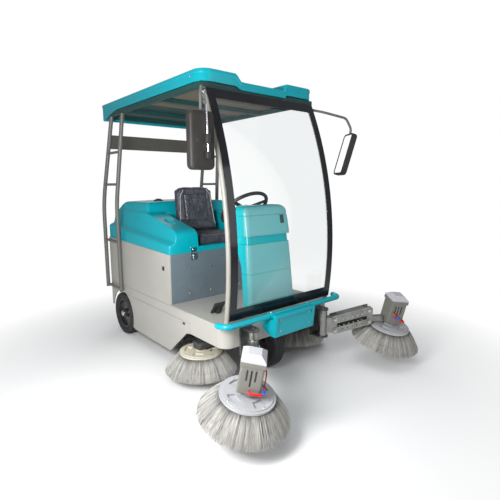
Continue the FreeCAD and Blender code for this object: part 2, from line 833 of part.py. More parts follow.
def armBrackets():
    """Two cheeks off the front wall on each side, joined by the upright pivot pin."""
    brackets = []
    for side in (1, -1):
        y = side * pivotY
        pieces = [box((bodyFront + seatGap, y - 48, 222), (bodyFront + 12, y + 48, 440))]
        for low in (222, 424):
            cheek = box((bodyFront + 10, y - 40, low), (pivotX, y + 40, low + 12))
            nose = rod((pivotX, y, low), (pivotX, y, low + 12), 40)
            pieces += [cheek, nose]
        pieces.append(rod((pivotX, y, 222), (pivotX, y, 448), pivotPin))
        brackets.append(fuse(pieces))
    return Part.makeCompound(brackets)


def lugBlock(pinX, lowZ, back, ahead):
    """The solid lug inside both channels, rounded about its two pins."""
    half = linkWide / 2 - linkWall - 1
    low, high = lowZ, lowZ + linkSplit
    pieces = [box((pinX - lugRound, -half, low), (pinX + lugRound, half, high))]
    pieces += [rod((pinX, -half, z), (pinX, half, z), lugRound) for z in (low, high)]
    pieces.append(box((pinX + back, -half, low - lugRound), (pinX + ahead, half, high + lugRound)))
    return fuse(pieces)


def swingBase(angle, side):
    """The block that turns on the pivot, with the lug for both channels."""
    low, high = 235, 422
    boss = rod((0, 0, low), (0, 0, high), 32)
    base = fuse([boss, lugBlock(linkRoot, rootLowZ, -linkRoot + 20, 0)])
    base = base.cut(rod((0, 0, low - 1), (0, 0, high + 1), pivotPin + shaftFit))
    for z in (rootLowZ, rootLowZ + linkSplit):
        base = base.cut(rod((linkRoot, -60, z), (linkRoot, 60, z), linkPin + shaftFit))
    return swung(base, angle, side)


def channel(rootZ, high, rows, web, angle, side):
    """A perforated channel with a cross pin at each end; web is 1 above and -1 below."""
    half = linkWide / 2
    end = high / 2
    flat = [(-end * 0.5, -end), (linkLength + end * 0.5, -end), (linkLength + end * 0.75, 0),
            (linkLength + end * 0.5, end), (-end * 0.5, end), (-end * 0.75, 0)]
    outer = sideProfile(flat, -half, half)
    inside = sorted((-web * high, web * (high / 2 - linkWall)))
    gutter = box((-high, -half + linkWall, inside[0]), (linkLength + high, half - linkWall, inside[1]))
    body = outer.cut(gutter)
    for at in (-lugRound, linkLength - webStart):
        body = body.cut(box((at, -half + linkWall, -high), (at + webStart + lugRound, half - linkWall, high)))
    for row in rows:
        for i in range(5):
            at = linkLength * (0.22 + 0.14 * i)
            body = body.cut(rod((at, -half - 1, row), (at, half + 1, row), 4.5))
    pins = [rod((at, -half - 4, 0), (at, half + 4, 0), linkPin) for at in (0, linkLength)]
    link = fuse([body] + pins)
    link.Placement = Placement(Vector(linkRoot, 0, rootZ), Rotation(Y, -linkRise))
    return swung(link, angle, side)


def upperLink(angle, side):
    return channel(rootLowZ + linkSplit, upperHigh, (-13, 9), 1, angle, side)


def lowerLink(angle, side):
    return channel(rootLowZ, lowerHigh, (0,), -1, angle, side)


def leaned(shape, side, angle):
    """Stands a brush piece, drawn upright about z = 0, on its leaning axis at the arm's end."""
    shape = shape.copy()
    shape.rotate(Vector(0, 0, 0), Z, angle)
    shape.rotate(Vector(0, 0, 0), Y, brushLean)
    reach = Vector(armReach * cos(radians(angle)), armReach * sin(radians(angle)), plateZ)
    shape.translate(Vector(pivotX, side * pivotY, 0) + reach)
    return shape


def brushCarrier(angle, side):
    """The block at the channels' tips, with the seat of the motor over the brush."""
    rise, run = tipRise()
    tip = linkRoot + run
    low = rootLowZ + rise
    neck = box((tip + 16, -24, low - 6), (armReach - 20, 24, low + 34))
    arm = fuse([lugBlock(tip, low, 0, 28), neck])
    arm = arm.cut(rod((tip, -60, low), (tip, 60, low), linkPin + openPinGap))
    arm = arm.cut(rod((tip, -60, low + linkSplit), (tip, 60, low + linkSplit), linkPin + shaftFit))
    arm = swung(arm, angle, side)
    disc = leaned(rod((0, 0, motorGap - 12), (0, 0, motorGap), mountDisc), side, angle)
    clear = leaned(rod((0, 0, -20), (0, 0, motorGap - 12), plateRadius + 10), side, angle)
    motor = leaned(box((-motorWide / 2 - 2, -motorWide / 2 - 2, motorGap), (motorWide, motorWide / 2 + 2, 400)),
                   side, angle)
    shaft = leaned(rod((0, 0, -8), (0, 0, motorGap), 13), side, angle)
    return fuse([arm.cut(clear).cut(motor), disc, shaft])


def motorCover(angle, side):
    """A square box with three slots on each open face and a faceted lid."""
    half = motorWide / 2
    low = motorGap + seatGap
    boxed = box((-half, -half, low), (half, half, low + motorHigh))
    boxed = boxed.makeFillet(12, [e for e in boxed.Edges if abs(e.BoundBox.ZLength - motorHigh) < 0.1])
    lidZ = low + motorHigh
    lid = Part.makeLoft([
        Part.makePolygon([Vector(x * (half + s), y * (half + s), z) for x, y in
                          ((1, 1), (-1, 1), (-1, -1), (1, -1), (1, 1))])
        for s, z in ((4, lidZ), (2, lidZ + lidHigh * 0.55), (-26, lidZ + lidHigh))], True, True)
    for turn in (0, 90, 270):
        for offset, length in ((-22, 62), (0, 96), (22, 62)):
            top = lidZ - 18
            slot = box((half - 5, offset - 4.5, top - length), (half + 5, offset + 4.5, top))
            slot.rotate(Vector(0, 0, 0), Z, turn)
            boxed = boxed.cut(slot)
    return leaned(fuse([boxed, lid]), side, angle)


def brushPlate():
    """A moulded disc with four kidney recesses, a stepped rim and a hub boss."""
    disc = Part.makeCylinder(plateRadius, plateThick, Vector(0, 0, -plateThick))
    step = Part.makeCylinder(plateRadius - 12, 5, Vector(0, 0, -0.5))
    hub = Part.makeCylinder(38, 16, Vector(0, 0, -2))
    plate = fuse([disc, step, hub])
    inner, outer, sweep = 70, 112, 44
    for i in range(kidneys):
        a = 360 / kidneys * i + 45
        ring = Part.makeCylinder(outer, 30, Vector(0, 0, -6), Z, sweep)
        ring = ring.cut(Part.makeCylinder(inner, 30, Vector(0, 0, -6)))
        ring.rotate(Vector(0, 0, 0), Z, a - sweep / 2)
        plate = plate.cut(ring)
    bore = Part.makeCylinder(13 + shaftFit, 60, Vector(0, 0, -30))
    return plate.cut(bore)


def brushBristles():
    """The flared skirt of bristle, hollow inside, that hangs from the plate's rim."""
    top = -plateThick - seatGap
    low = -bristleHigh
    inner = bristleRoot - 30
    face = loop([(inner, 0, top), (bristleRoot, 0, top), (bristleTip, 0, low), (bristleTip - 62, 0, low - 3)])
    return face.revolve(Vector(0, 0, 0), Z, 360)


# Middle brushes

def midArm(side):
    """A trailing arm from the hanger's pin to the brush's gearbox, with the motor on it."""
    y0, y1 = midMotorY - 46, midMotorY + 8
    bar = sideProfile([(midHingeX - 20, midHingeZ - 20), (midHingeX - 20, midHingeZ + 18),
                       (midHingeX + 30, midHingeZ + 18), (midX - 70, midPlateZ + 62),
                       (midX + 20, midPlateZ + 62), (midX + 20, midPlateZ + 24), (midX - 80, midPlateZ + 24),
                       (midHingeX + 20, midHingeZ - 20)], y0 + 6, y1 - 6)
    gearbox = box((midX - 44, midMotorY - 46, midPlateZ + 20), (midX + 44, midY + 44, midPlateZ + 66))
    gearbox = gearbox.makeFillet(20, [e for e in gearbox.Edges if abs(e.BoundBox.ZLength - 46) < 0.1])
    motor = rod((midX, midMotorY, midPlateZ + 60), (midX, midMotorY, midPlateZ + 180), 42)
    shaft = rod((midX, midY, midPlateZ - 8), (midX, midY, midPlateZ + 24), 13)
    bore = rod((midHingeX, y0 - 60, midHingeZ), (midHingeX, y1 + 60, midHingeZ), 9 + shaftFit)
    arm = fuse([bar, gearbox, motor, shaft]).cut(bore)
    return arm if side > 0 else mirrored(arm)


def midPlaced(shape, side):
    shape = shape.copy()
    shape.translate(Vector(midX, side * midY, midPlateZ))
    return shape


def export(node, shape):
    placed = shape.copy()
    placed.translate(origin * -1)
    solids = placed.Solids
    assert solids and placed.isValid(), node
    target = solids[0] if len(solids) == 1 else Part.makeCompound(solids)
    target.exportStep("parts/%s.step" % node)


os.makedirs("parts", exist_ok=True)
plate, bristles = brushPlate(), brushBristles()
nodes = {
    "chassis_frame": chassisFrame(),
    "front_tray": frontTray(),
    "front_panel": frontPanel(),
    "rear_panel": rearPanel(),
    "battery_block": batteryBlock(),
    "steer_fork": steerFork(),
    "front_tyre": frontTyre(),
    "front_rim": frontRim(),
    "roller_housing": rollerHousing(),
    "roller_brush": rollerBrush(),
    "hopper": hopper(),
    "hood": hood(),
    "seat_cushion": seatCushion(),
    "seat_back": seatBack(),
    "beacon_base": beaconBase(),
    "beacon_lens": beaconLens(),
    "console": console(),
    "steering_column": steeringColumn(),
    "steering_wheel": steeringWheel(),
    "brake_pedal": brakePedal(),
    "windscreen_glass": windscreenGlass(),
    "windscreen_frame": windscreenFrame(),
    "front_pillars": frontPillars(),
    "rear_cross_plate": rearCrossPlate(),
    "roof": roof(),
    "roof_frame": roofFrame(),
    "bumper_bar": bumperBar(),
    "bumper_box": bumperBox(),
    "mirror_arms": mirrorArms(),
    "mirror_heads": mirrorHeads(),
    "arm_brackets": armBrackets(),
}
for name, side, angle in (("right", -1, swingRight), ("left", 1, swingLeft)):
    nodes["body_side_" + name] = sideSkin(side)
    nodes["rear_ladder_" + name] = rearLadder(side)
    nodes["rear_tyre_" + name] = rearTyre(side)
    nodes["rear_rim_" + name] = rearRim(side)
    nodes["swing_base_" + name] = swingBase(angle, side)
    nodes["upper_link_" + name] = upperLink(angle, side)
    nodes["lower_link_" + name] = lowerLink(angle, side)
    nodes["brush_carrier_" + name] = brushCarrier(angle, side)
    nodes["motor_cover_" + name] = motorCover(angle, side)
    nodes["front_plate_" + name] = leaned(plate, side, angle)
    nodes["front_bristles_" + name] = leaned(bristles, side, angle)
    nodes["mid_arm_" + name] = midArm(side)
    nodes["mid_plate_" + name] = midPlaced(plate, side)
    nodes["mid_bristles_" + name] = midPlaced(bristles, side)
for node, shape in nodes.items():
    export(node, shape)
print(len(nodes), "nodes")
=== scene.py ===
import json
from math import acos, atan2, cos, degrees, pi, radians, sin

import bmesh
import bpy
import numpy as np
from mathutils import Matrix, Vector
from mathutils.bvhtree import BVHTree


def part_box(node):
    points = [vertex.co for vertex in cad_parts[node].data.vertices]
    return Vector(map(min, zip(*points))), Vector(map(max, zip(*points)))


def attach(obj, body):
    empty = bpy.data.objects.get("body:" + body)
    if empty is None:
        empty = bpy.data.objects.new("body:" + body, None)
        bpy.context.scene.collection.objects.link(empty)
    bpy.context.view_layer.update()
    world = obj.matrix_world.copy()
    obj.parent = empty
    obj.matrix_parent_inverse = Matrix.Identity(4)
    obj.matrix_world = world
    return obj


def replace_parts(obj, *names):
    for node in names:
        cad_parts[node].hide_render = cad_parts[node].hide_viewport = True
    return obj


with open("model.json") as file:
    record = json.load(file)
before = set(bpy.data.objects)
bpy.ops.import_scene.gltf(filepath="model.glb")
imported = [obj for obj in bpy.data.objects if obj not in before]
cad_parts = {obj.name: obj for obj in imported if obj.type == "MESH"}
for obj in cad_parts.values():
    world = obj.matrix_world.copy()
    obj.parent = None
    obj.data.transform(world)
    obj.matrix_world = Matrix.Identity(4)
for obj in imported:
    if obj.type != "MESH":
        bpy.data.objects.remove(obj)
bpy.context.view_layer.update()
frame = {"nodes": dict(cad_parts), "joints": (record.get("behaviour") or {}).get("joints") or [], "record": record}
nodes = frame["nodes"]
joints = {joint["name"]: joint for joint in frame["joints"]}
sides = {"right": -1, "left": 1}
random = np.random.default_rng(7)
middle = np.array([0.234, 0.039, 0.0])
print("frame:", len(nodes), "nodes")


def at(x, y, z):
    # from axes about the machine's middle plane to the frame
    return np.array([x, y, z]) - middle


# Meshes from numpy grids

def gridFaces(rows, columns, closeRows=False, closeColumns=False):
    # one quad for each cell of a grid of points, wrapped round where an edge is closed
    r, c = np.meshgrid(np.arange(rows - (not closeRows)), np.arange(columns - (not closeColumns)),
                       indexing="ij")
    nextR, nextC = (r + 1) % rows, (c + 1) % columns
    corners = [r * columns + c, r * columns + nextC, nextR * columns + nextC, nextR * columns + c]
    return np.stack(corners, -1).reshape(-1, 4)


def meshFrom(name, points, quads, caps=(), smooth=True):
    # points is (n, 3) and quads (m, 4); caps are longer faces, such as the ends of a tube
    mesh = bpy.data.meshes.new(name)
    mesh.vertices.add(len(points))
    mesh.vertices.foreach_set("co", np.asarray(points, np.float32).ravel())
    sizes = [4] * len(quads) + [len(cap) for cap in caps]
    loops = np.concatenate([np.asarray(quads).ravel()] + [np.asarray(cap) for cap in caps])
    mesh.loops.add(len(loops))
    mesh.loops.foreach_set("vertex_index", loops.astype(np.int32))
    mesh.polygons.add(len(sizes))
    starts = np.concatenate([[0], np.cumsum(sizes)[:-1]])
    mesh.polygons.foreach_set("loop_start", starts.astype(np.int32))
    mesh.polygons.foreach_set("use_smooth", [smooth] * len(sizes))
    mesh.update(calc_edges=True)
    mesh.validate()
    return mesh


def added(name, data):
    obj = bpy.data.objects.new(name, data)
    bpy.context.scene.collection.objects.link(obj)
    return obj


def piece(name, mesh, finish, body):
    obj = added(name, mesh)
    mesh.materials.clear()
    mesh.materials.append(finish)
    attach(obj, body)
    return obj


def stacked(grids):
    # columns of closed rings, each column shut at both ends, as one set of points and faces
    points, quads, caps, count = [], [], [], 0
    for grid in grids:
        rows, columns = grid.shape[:2]
        points.append(grid.reshape(-1, 3))
        quads.append(gridFaces(rows, columns, False, True) + count)
        caps += [np.arange(columns)[::-1] + count, np.arange(columns) + (rows - 1) * columns + count]
        count += rows * columns
    return np.concatenate(points), np.concatenate(quads), caps


def solidPiece(name, grids, finish, body="root", smooth=False):
    return piece(name, meshFrom(name, *stacked(grids), smooth), finish, body)


def ringPiece(name, grids, finish, body, smooth=True):
    # grids of one size that close on themselves both ways
    rows, columns = grids[0].shape[:2]
    quads = gridFaces(rows, columns, True, True)
    quads = np.concatenate([quads + k * rows * columns for k in range(len(grids))])
    points = np.concatenate([grid.reshape(-1, 3) for grid in grids])
    return piece(name, meshFrom(name, points, quads, (), smooth), finish, body)


def axes(along, hint=(0, 0, 1)):
    # a turn whose third column points along, with the first as near to the hint as it can be
    z = np.asarray(along, float) / np.linalg.norm(along)
    x = np.asarray(hint, float) - np.dot(hint, z) * z
    if np.linalg.norm(x) < 1e-6:
        x = np.array([1.0, 0, 0]) - z[0] * z
    x = x / np.linalg.norm(x)
    return np.stack([x, np.cross(z, x), z], 1)


def lathe(profile, turns=48, centre=(0, 0, 0), along=(0, 0, 1)):
    # each (radius, height) of the profile is carried in a circle about the axis
    r, h = np.asarray(profile, float).T
    angle = np.arange(turns) * 2 * pi / turns
    local = np.stack([np.outer(r, np.cos(angle)), np.outer(r, np.sin(angle)),
                      np.repeat(h[:, None], turns, 1)], -1)
    return local @ axes(along).T + np.asarray(centre)


def roundRect(halfX, halfY, radius, steps=5):
    # a rectangle whose four corners are quarter circles, as (n, 2) points anticlockwise
    quarter = np.linspace(0, pi / 2, steps)
    parts = []
    for k, (sx, sy) in enumerate(((1, 1), (-1, 1), (-1, -1), (1, -1))):
        a = quarter + k * pi / 2
        parts.append(np.stack([sx * (halfX - radius) + radius * np.cos(a),
                               sy * (halfY - radius) + radius * np.sin(a)], 1))
    return np.concatenate(parts)


def block(halfX, halfY, radius, profile, turn=None, centre=(0, 0, 0), steps=4):
    # rounded rectangles, each drawn in by an inset at its height, stacked along the third axis
    rings = []
    for inset, height in profile:
        ring = roundRect(halfX - inset, halfY - inset, max(radius - inset, radius * 0.15, 1e-5), steps)
        rings.append(np.column_stack([ring, np.full(len(ring), height)]))
    grid = np.stack(rings)
    if turn is not None:
        grid = grid @ np.asarray(turn).T
    return grid + np.asarray(centre)


def softBlock(half, edge, turn=None, centre=(0, 0, 0)):
    # a box with all its edges eased by a small chamfer
    deep = half[2]
    return block(half[0], half[1], edge * 1.5, [(edge, -deep), (0, -deep + edge), (0, deep - edge),
                                                (edge, deep)], turn, centre, 3)


def tubeGrid(path, radius, sides=10):
    # a circle carried along the path, its frame turned as little as the path's bends ask
    path = np.asarray(path, float)
    tangent = np.gradient(path, axis=0)
    tangent /= np.linalg.norm(tangent, axis=1)[:, None]
    normal = axes(tangent[0])[:, 0]
    normals = []
    for t in tangent:
        normal = normal - np.dot(normal, t) * t
        normal = normal / np.linalg.norm(normal)
        normals.append(normal)
    normals = np.array(normals)
    binormals = np.cross(tangent, normals)
    a = np.arange(sides) * 2 * pi / sides
    width = np.broadcast_to(np.asarray(radius, float), (len(path),))[:, None, None]
    return path[:, None] + width * (np.cos(a)[None, :, None] * normals[:, None]
                                    + np.sin(a)[None, :, None] * binormals[:, None])


def smoothPath(points, count):
    # a cubic curve through all the points, whose slope at each is half the way between its neighbours
    p = np.asarray(points, float)
    p = np.vstack([2 * p[0] - p[1], p, 2 * p[-1] - p[-2]])
    t = np.linspace(0, len(points) - 1, count)
    k = np.minimum(t.astype(int), len(points) - 2)
    f = (t - k)[:, None]
    a, b, c, d = p[k], p[k + 1], p[k + 2], p[k + 3]
    return 0.5 * (2 * b + (c - a) * f + (2 * a - 5 * b + 4 * c - d) * f ** 2
                  + (3 * b - a - 3 * c + d) * f ** 3)


def repeated(template, quads, caps, origins, turns):
    # the same small shape set at many places: points @ turn + origin, as whole arrays
    origins, turns = np.asarray(origins, float), np.asarray(turns, float)
    count = len(template)
    points = np.einsum("kij,nj->kni", turns, template) + origins[:, None]
    shift = np.arange(len(origins)) * count
    allQuads = (np.asarray(quads)[None] + shift[:, None, None]).reshape(-1, 4)
    allCaps = [np.asarray(cap) + s for s in shift for cap in caps]
    return points.reshape(-1, 3), allQuads, allCaps


def turned(aboutZ, aboutY=0.0):
    # a turn about Z, and then a lean about Y, in degrees
    return np.array(Matrix.Rotation(radians(aboutY), 3, "Y") @ Matrix.Rotation(radians(aboutZ), 3, "Z"))


def bolts(name, spots, along, radius, height, finish, body, slot, sides=6):
    # a washer with a chamfered head on it at each spot, standing out along its direction; both are
    # drawn in shares of the radius and the height
    wide = radius * 1.4
    washer = lathe([(wide, -0.0004), (wide, height * 0.14), (radius * 1.25, height * 0.2)], 14)
    head = lathe([(radius, height * 0.1), (radius, height * 0.8), (radius * 0.78, height)], sides)
    along = np.broadcast_to(np.asarray(along, float), (len(spots), 3))
    arrays = repeated(*stacked([washer, head]), spots, [axes(a, (0.3, 0.2, 1)) for a in along])
    return piece(name, meshFrom(name, *arrays, smooth=False), finish, body)


def treeOf(mesh):
    return BVHTree.FromPolygons([v.co for v in mesh.vertices], [p.vertices for p in mesh.polygons])


trees = {}
shells = {}  # meshes made here in place of a node's own


def surface(node, start, direction):
    # where a line from the start first meets the node, and which way the node faces there
    if node not in trees:
        trees[node] = treeOf(shells.get(node) or nodes[node].data)
    place, normal = trees[node].ray_cast(Vector(start), Vector(direction))[:2]
    if place is None:
        raise ValueError("nothing of %s lies along that line" % node)
    return np.array(place), np.array(normal)


# Shader maths: expressions on sockets add their nodes

class Socket:
    def __init__(self, finish, socket):
        self.finish = finish
        self.socket = socket

    def maths(self, operation, *values):
        return self.finish.node("ShaderNodeMath", {"operation": operation}, dict(enumerate(values)))

    def __add__(self, other):
        return self.maths("ADD", self, other)

    def __radd__(self, other):
        return self.maths("ADD", other, self)

    def __sub__(self, other):
        return self.maths("SUBTRACT", self, other)

    def __rsub__(self, other):
        return self.maths("SUBTRACT", other, self)

    def __mul__(self, other):
        return self.maths("MULTIPLY", self, other)

    def __rmul__(self, other):
        return self.maths("MULTIPLY", other, self)

    def __gt__(self, other):
        return self.maths("GREATER_THAN", self, other)

    def __lt__(self, other):
        return self.maths("LESS_THAN", self, other)

    def absolute(self):
        return self.maths("ABSOLUTE", self)

    def sine(self):
        return self.maths("SINE", self)


class Finish:
    def __init__(self, name, owner=None):
        self.owner = owner or bpy.data.materials.new(name)
        self.owner.use_nodes = True
        self.tree = self.owner.node_tree
        self.tree.nodes.clear()

    def node(self, kind, settings=None, inputs=None, output=0):
        made = self.tree.nodes.new(kind)
        for key, value in (settings or {}).items():
            setattr(made, key, value)
        for key, value in (inputs or {}).items():
            into = made.inputs[key]
            if isinstance(value, Socket):
                self.tree.links.new(value.socket, into)
            else:
                into.default_value = (*value, 1) if into.type == "RGBA" else value
        return Socket(self, made.outputs[output]) if made.outputs else None

    def place(self, scale=(1, 1, 1)):
        where = self.node("ShaderNodeTexCoord", output="Object")
        return self.node("ShaderNodeMapping", {}, {"Vector": where, "Scale": scale})

    def noise(self, scale, detail=3.0, rough=0.5, stretch=(1, 1, 1)):
        return self.node("ShaderNodeTexNoise", {}, {"Vector": self.place(stretch), "Scale": scale,
                                                    "Detail": detail, "Roughness": rough})

    def spots(self, scale):
        return self.node("ShaderNodeTexVoronoi", {}, {"Vector": self.place(), "Scale": scale}, "Distance")

    def axis(self, letter):
        return self.node("ShaderNodeSeparateXYZ", {}, {0: self.place()}, letter)

    def mixed(self, factor, first, second):
        return self.node("ShaderNodeMix", {"data_type": "RGBA"}, {0: factor, 6: first, 7: second}, 2)

    def mottled(self, pattern, colour, dark, light, low=0.3, high=0.7):
        # the colour wanders between two strengths of itself as the pattern does
        ends = [tuple(min(c * strength, 1.0) for c in colour) for strength in (dark, light)]
        return self.mixed(self.spread(pattern, low, high), *ends)

    def spread(self, value, low, high, outLow=0.0, outHigh=1.0):
        return self.node("ShaderNodeMapRange", {"clamp": True},
                         {"Value": value, "From Min": low, "From Max": high,
                          "To Min": outLow, "To Max": outHigh})

    def bump(self, height, strength, distance, normal=None):
        inputs = {"Height": height, "Strength": strength, "Distance": distance}
        if normal is not None:
            inputs["Normal"] = normal
        return self.node("ShaderNodeBump", {}, inputs)

    def softEdges(self, radius):
        # shades each hard edge as if it had this small radius
        return self.node("ShaderNodeBevel", {"samples": 4}, {"Radius": radius})

    def closed(self, shader, kind="ShaderNodeOutputMaterial"):
        self.node(kind, {}, {"Surface": shader})
        return self.owner

    def finished(self, **sockets):
        # the names are those of the Principled shader, with underscores for spaces
        inputs = {key.replace("_", " "): value for key, value in sockets.items()}
        return self.closed(self.node("ShaderNodeBsdfPrincipled", {}, inputs))


# Finishes

def paintFinish(name, colour, gloss=0.35, dust=0.10):
    # sprayed paint: a faint orange peel, slightly uneven gloss, and dust that gathers low down
    f = Finish(name)
    cloud = f.noise(2.3, 4.0)
    grime = f.noise(11.0, 6.0, 0.65)
    low = f.spread(f.axis("Z"), 0.15, 0.9, 1.0, 0.25)
    settled = f.spread(grime, 0.48, 0.75) * low * dust
    tone = f.mixed(settled, f.mottled(cloud, colour, 0.93, 1.06), (0.55, 0.53, 0.48))
    return f.finished(Base_Color=tone, Roughness=gloss + (cloud - 0.5) * 0.12 + settled * 0.8,
                      Normal=f.bump(f.noise(260.0, 2.0), 0.06, 0.0006, f.softEdges(0.0015)))


def shellFinish(name, colour, face=None):
    # gelcoat on a moulded shell: deep gloss with long ripples, finely scuffed; where its lean puts x + z * lean
    # past the edge, a front face is painted a paler tone, a painted reflection, but for the band under the
    # console's lip, which keeps the darker teal as painted shade
    f = Finish(name)
    cloud = f.noise(1.7, 3.0)
    scuff = f.noise(34.0, 6.0, 0.7, stretch=(1, 1, 0.35))
    rubbed = f.spread(scuff, 0.60, 0.72) * 0.15
    tone = f.mixed(rubbed, f.mottled(cloud, colour, 0.95, 1.05), (0.10, 0.52, 0.60))
    if face:
        level = f.axis("Z")
        paintedReflection = f.spread(f.axis("X") + level * face["lean"], *face["edge"])
        band = (level > face["band"][0]) * (level < face["band"][1])
        tone = f.mixed(paintedReflection * (1 - band), tone, face["colour"])
    ripple = f.noise(7.0, 1.0) + f.noise(420.0, 1.0) * 0.05
    return f.finished(Base_Color=tone, Roughness=0.27 + rubbed * 0.8 + cloud * 0.06,
                      Coat_Weight=0.15, Coat_Roughness=0.10, Specular_IOR_Level=0.38,
                      Normal=f.bump(ripple, 0.10, 0.004, f.softEdges(0.004)))


def metalFinish(name, colour, rough=0.38, stretch=(1, 1, 14), scale=90.0):
    # zinc or steel with fine draw lines and a faint bloom
    f = Finish(name)
    lines = f.noise(scale, 3.0, 0.6, stretch)
    bloom = f.noise(16.0, 5.0, 0.6)
    return f.finished(Base_Color=f.mottled(bloom, colour, 1, 0.72, 0.35), Metallic=1.0,
                      Roughness=rough + (lines - 0.5) * 0.2 + (bloom - 0.5) * 0.2,
                      Normal=f.bump(lines, 0.08, 0.0008, f.softEdges(0.001)))


def rubberFinish(name):
    # matt black with a fine grain, dusty in patches
    f = Finish(name)
    grain = f.noise(300.0, 3.0)
    dust = f.spread(f.noise(14.0, 5.0, 0.7), 0.45, 0.8)
    tone = f.mixed(dust * 0.5, (0.016, 0.016, 0.017), (0.085, 0.08, 0.072))
    return f.finished(Base_Color=tone, Roughness=0.72 + dust * 0.2,
                      Normal=f.bump(grain, 0.35, 0.0008, f.softEdges(0.002)))


def plasticFinish(name, colour, rough=0.45, grainSize=700.0, depth=0.25):
    # moulded plastic with an eroded grain
    f = Finish(name)
    grain = f.spots(grainSize)
    cloud = f.noise(9.0, 4.0)
    tone = f.mixed(f.spread(cloud, 0.35, 0.7), colour, tuple(min(1, c * 1.2 + 0.004) for c in colour))
    return f.finished(Base_Color=tone, Roughness=rough + (cloud - 0.5) * 0.12,
                      Normal=f.bump(grain, depth, 0.0004, f.softEdges(0.0015)))


def leatherFinish(name):
    # glossy black leathercloth: pebbled grain, with short creases where it is pulled
    f = Finish(name)
    pebble = f.spots(520.0)
    folds = f.noise(24.0, 5.0, 0.62, stretch=(1, 1, 0.55))
    crease = 1 - f.spread((folds - 0.5).absolute(), 0.0, 0.05)
    # painted shade: the leather is darker where the folds sink and lighter where they rise
    tone = f.mixed(f.spread(folds, 0.3, 0.7), (0.028, 0.030, 0.040), (0.080, 0.086, 0.106))
    height = pebble * 0.12 + folds * 1.2 - crease * 0.3
    return f.finished(Base_Color=tone, Roughness=0.26 + pebble * 0.10 + crease * 0.1,
                      Specular_IOR_Level=0.7, Normal=f.bump(height, 0.55, 0.003))


def glassFinish(name):
    # clear laminated glass, a little green in its body
    f = Finish(name)
    clear = f.node("ShaderNodeBsdfTransparent", {}, {"Color": (0.985, 0.995, 0.995)})
    film = f.noise(3.0, 4.0)
    gloss = f.node("ShaderNodeBsdfGlossy", {}, {"Color": (1, 1, 1), "Roughness": 0.03})
    edge = f.node("ShaderNodeFresnel", {}, {"IOR": 1.38})
    shown = edge * 0.14 + f.spread(film, 0.4, 0.8) * 0.006
    return f.closed(f.node("ShaderNodeMixShader", {}, {0: shown, 1: clear, 2: gloss}))


def mirrorFinish(name):
    # silvered glass with a faint film of dust
    f = Finish(name)
    film = f.spread(f.noise(18.0, 5.0, 0.65), 0.45, 0.75)
    tone = f.mixed(film * 0.4, (0.86, 0.88, 0.90), (0.62, 0.63, 0.62))
    return f.finished(Base_Color=tone, Metallic=1.0, Roughness=0.05 + film * 0.12)


def boardFinish(name, colour):
    # pressed lining board: fibres lying one way, lightly stained
    f = Finish(name)
    fibre = f.noise(120.0, 4.0, 0.7, stretch=(0.12, 1, 1))
    stain = f.noise(5.0, 4.0)
    tone = f.mixed(f.spread(fibre, 0.5, 0.8) * 0.35, f.mottled(stain, colour, 1, 0.8, 0.35),
                   tuple(c * 0.6 for c in colour))
    return f.finished(Base_Color=tone, Roughness=0.75 + (fibre - 0.5) * 0.2,
                      Normal=f.bump(fibre, 0.3, 0.0006))


def bristleFinish(name, pale, dark):
    # nylon strands: each has its own tone, held as an attribute, and is painted darker towards its root, a painted
    # shade among the strands near the plate
    f = Finish(name)
    own = f.node("ShaderNodeAttribute", {"attribute_name": "tone"}, {}, "Fac")
    down = f.node("ShaderNodeAttribute", {"attribute_name": "reach"}, {}, "Fac")
    tone = f.mixed(own, dark, pale)
    # painted shade: the strands darken towards near black at their roots
    tone = f.mixed(f.spread(down, 0.0, 0.35, 0.55, 0.0), tone, (0.05, 0.05, 0.05))
    grain = f.noise(900.0, 2.0)
    return f.finished(Base_Color=tone, Roughness=0.52 + (grain - 0.5) * 0.2,
                      Normal=f.bump(grain, 0.15, 0.0003))


def lensFinish(name, colour):
    # a ribbed amber dome, unevenly lit from within
    f = Finish(name)
    ribs = (f.axis("Z") * 900.0).sine()
    inner = f.noise(60.0, 3.0)
    tone = f.mixed(inner * 0.5, colour, (1.0, 0.62, 0.12))
    return f.finished(Base_Color=tone, Roughness=0.16 + inner * 0.08, Transmission_Weight=0.25,
                      Coat_Weight=0.5, Normal=f.bump(ribs, 0.35, 0.0008))


finishes = {
    "teal_shell": shellFinish("tealShell", (0.0, 0.345, 0.415)),
    "body_cream": paintFinish("creamPaint", (0.40, 0.39, 0.355), gloss=0.36),
    "panel_slate": paintFinish("slatePaint", (0.13, 0.165, 0.19), gloss=0.32),
    "tube_grey": paintFinish("tubePaint", (0.135, 0.135, 0.125), gloss=0.4),
    "frame_paint": paintFinish("framePaint", (0.035, 0.035, 0.037), gloss=0.5, dust=0.3),
    "zinc_channel": metalFinish("zincChannel", (0.36, 0.36, 0.34)),
    "motor_paint": paintFinish("motorPaint", (0.36, 0.35, 0.31), gloss=0.38),
    "brush_plate": plasticFinish("brushPlate", (0.36, 0.365, 0.38), 0.45, 520.0, 0.12),
    "bristle": bristleFinish("bristleNylon", (0.66, 0.64, 0.58), (0.20, 0.20, 0.21)),
    "tyre_rubber": rubberFinish("tyreRubber"),
    "wheel_rim": paintFinish("rimPaint", (0.022, 0.022, 0.023), gloss=0.4, dust=0.2),
    "seat_leather": leatherFinish("seatLeather"),
    "black_plastic": plasticFinish("blackPlastic", (0.018, 0.018, 0.019)),
    "black_border": plasticFinish("blackBorder", (0.006, 0.007, 0.010), 0.12, 300.0, 0.02),
    "screen_glass": glassFinish("screenGlass"),
    "amber_lens": lensFinish("amberLens", (0.95, 0.36, 0.02)),
}
black = finishes["black_plastic"]
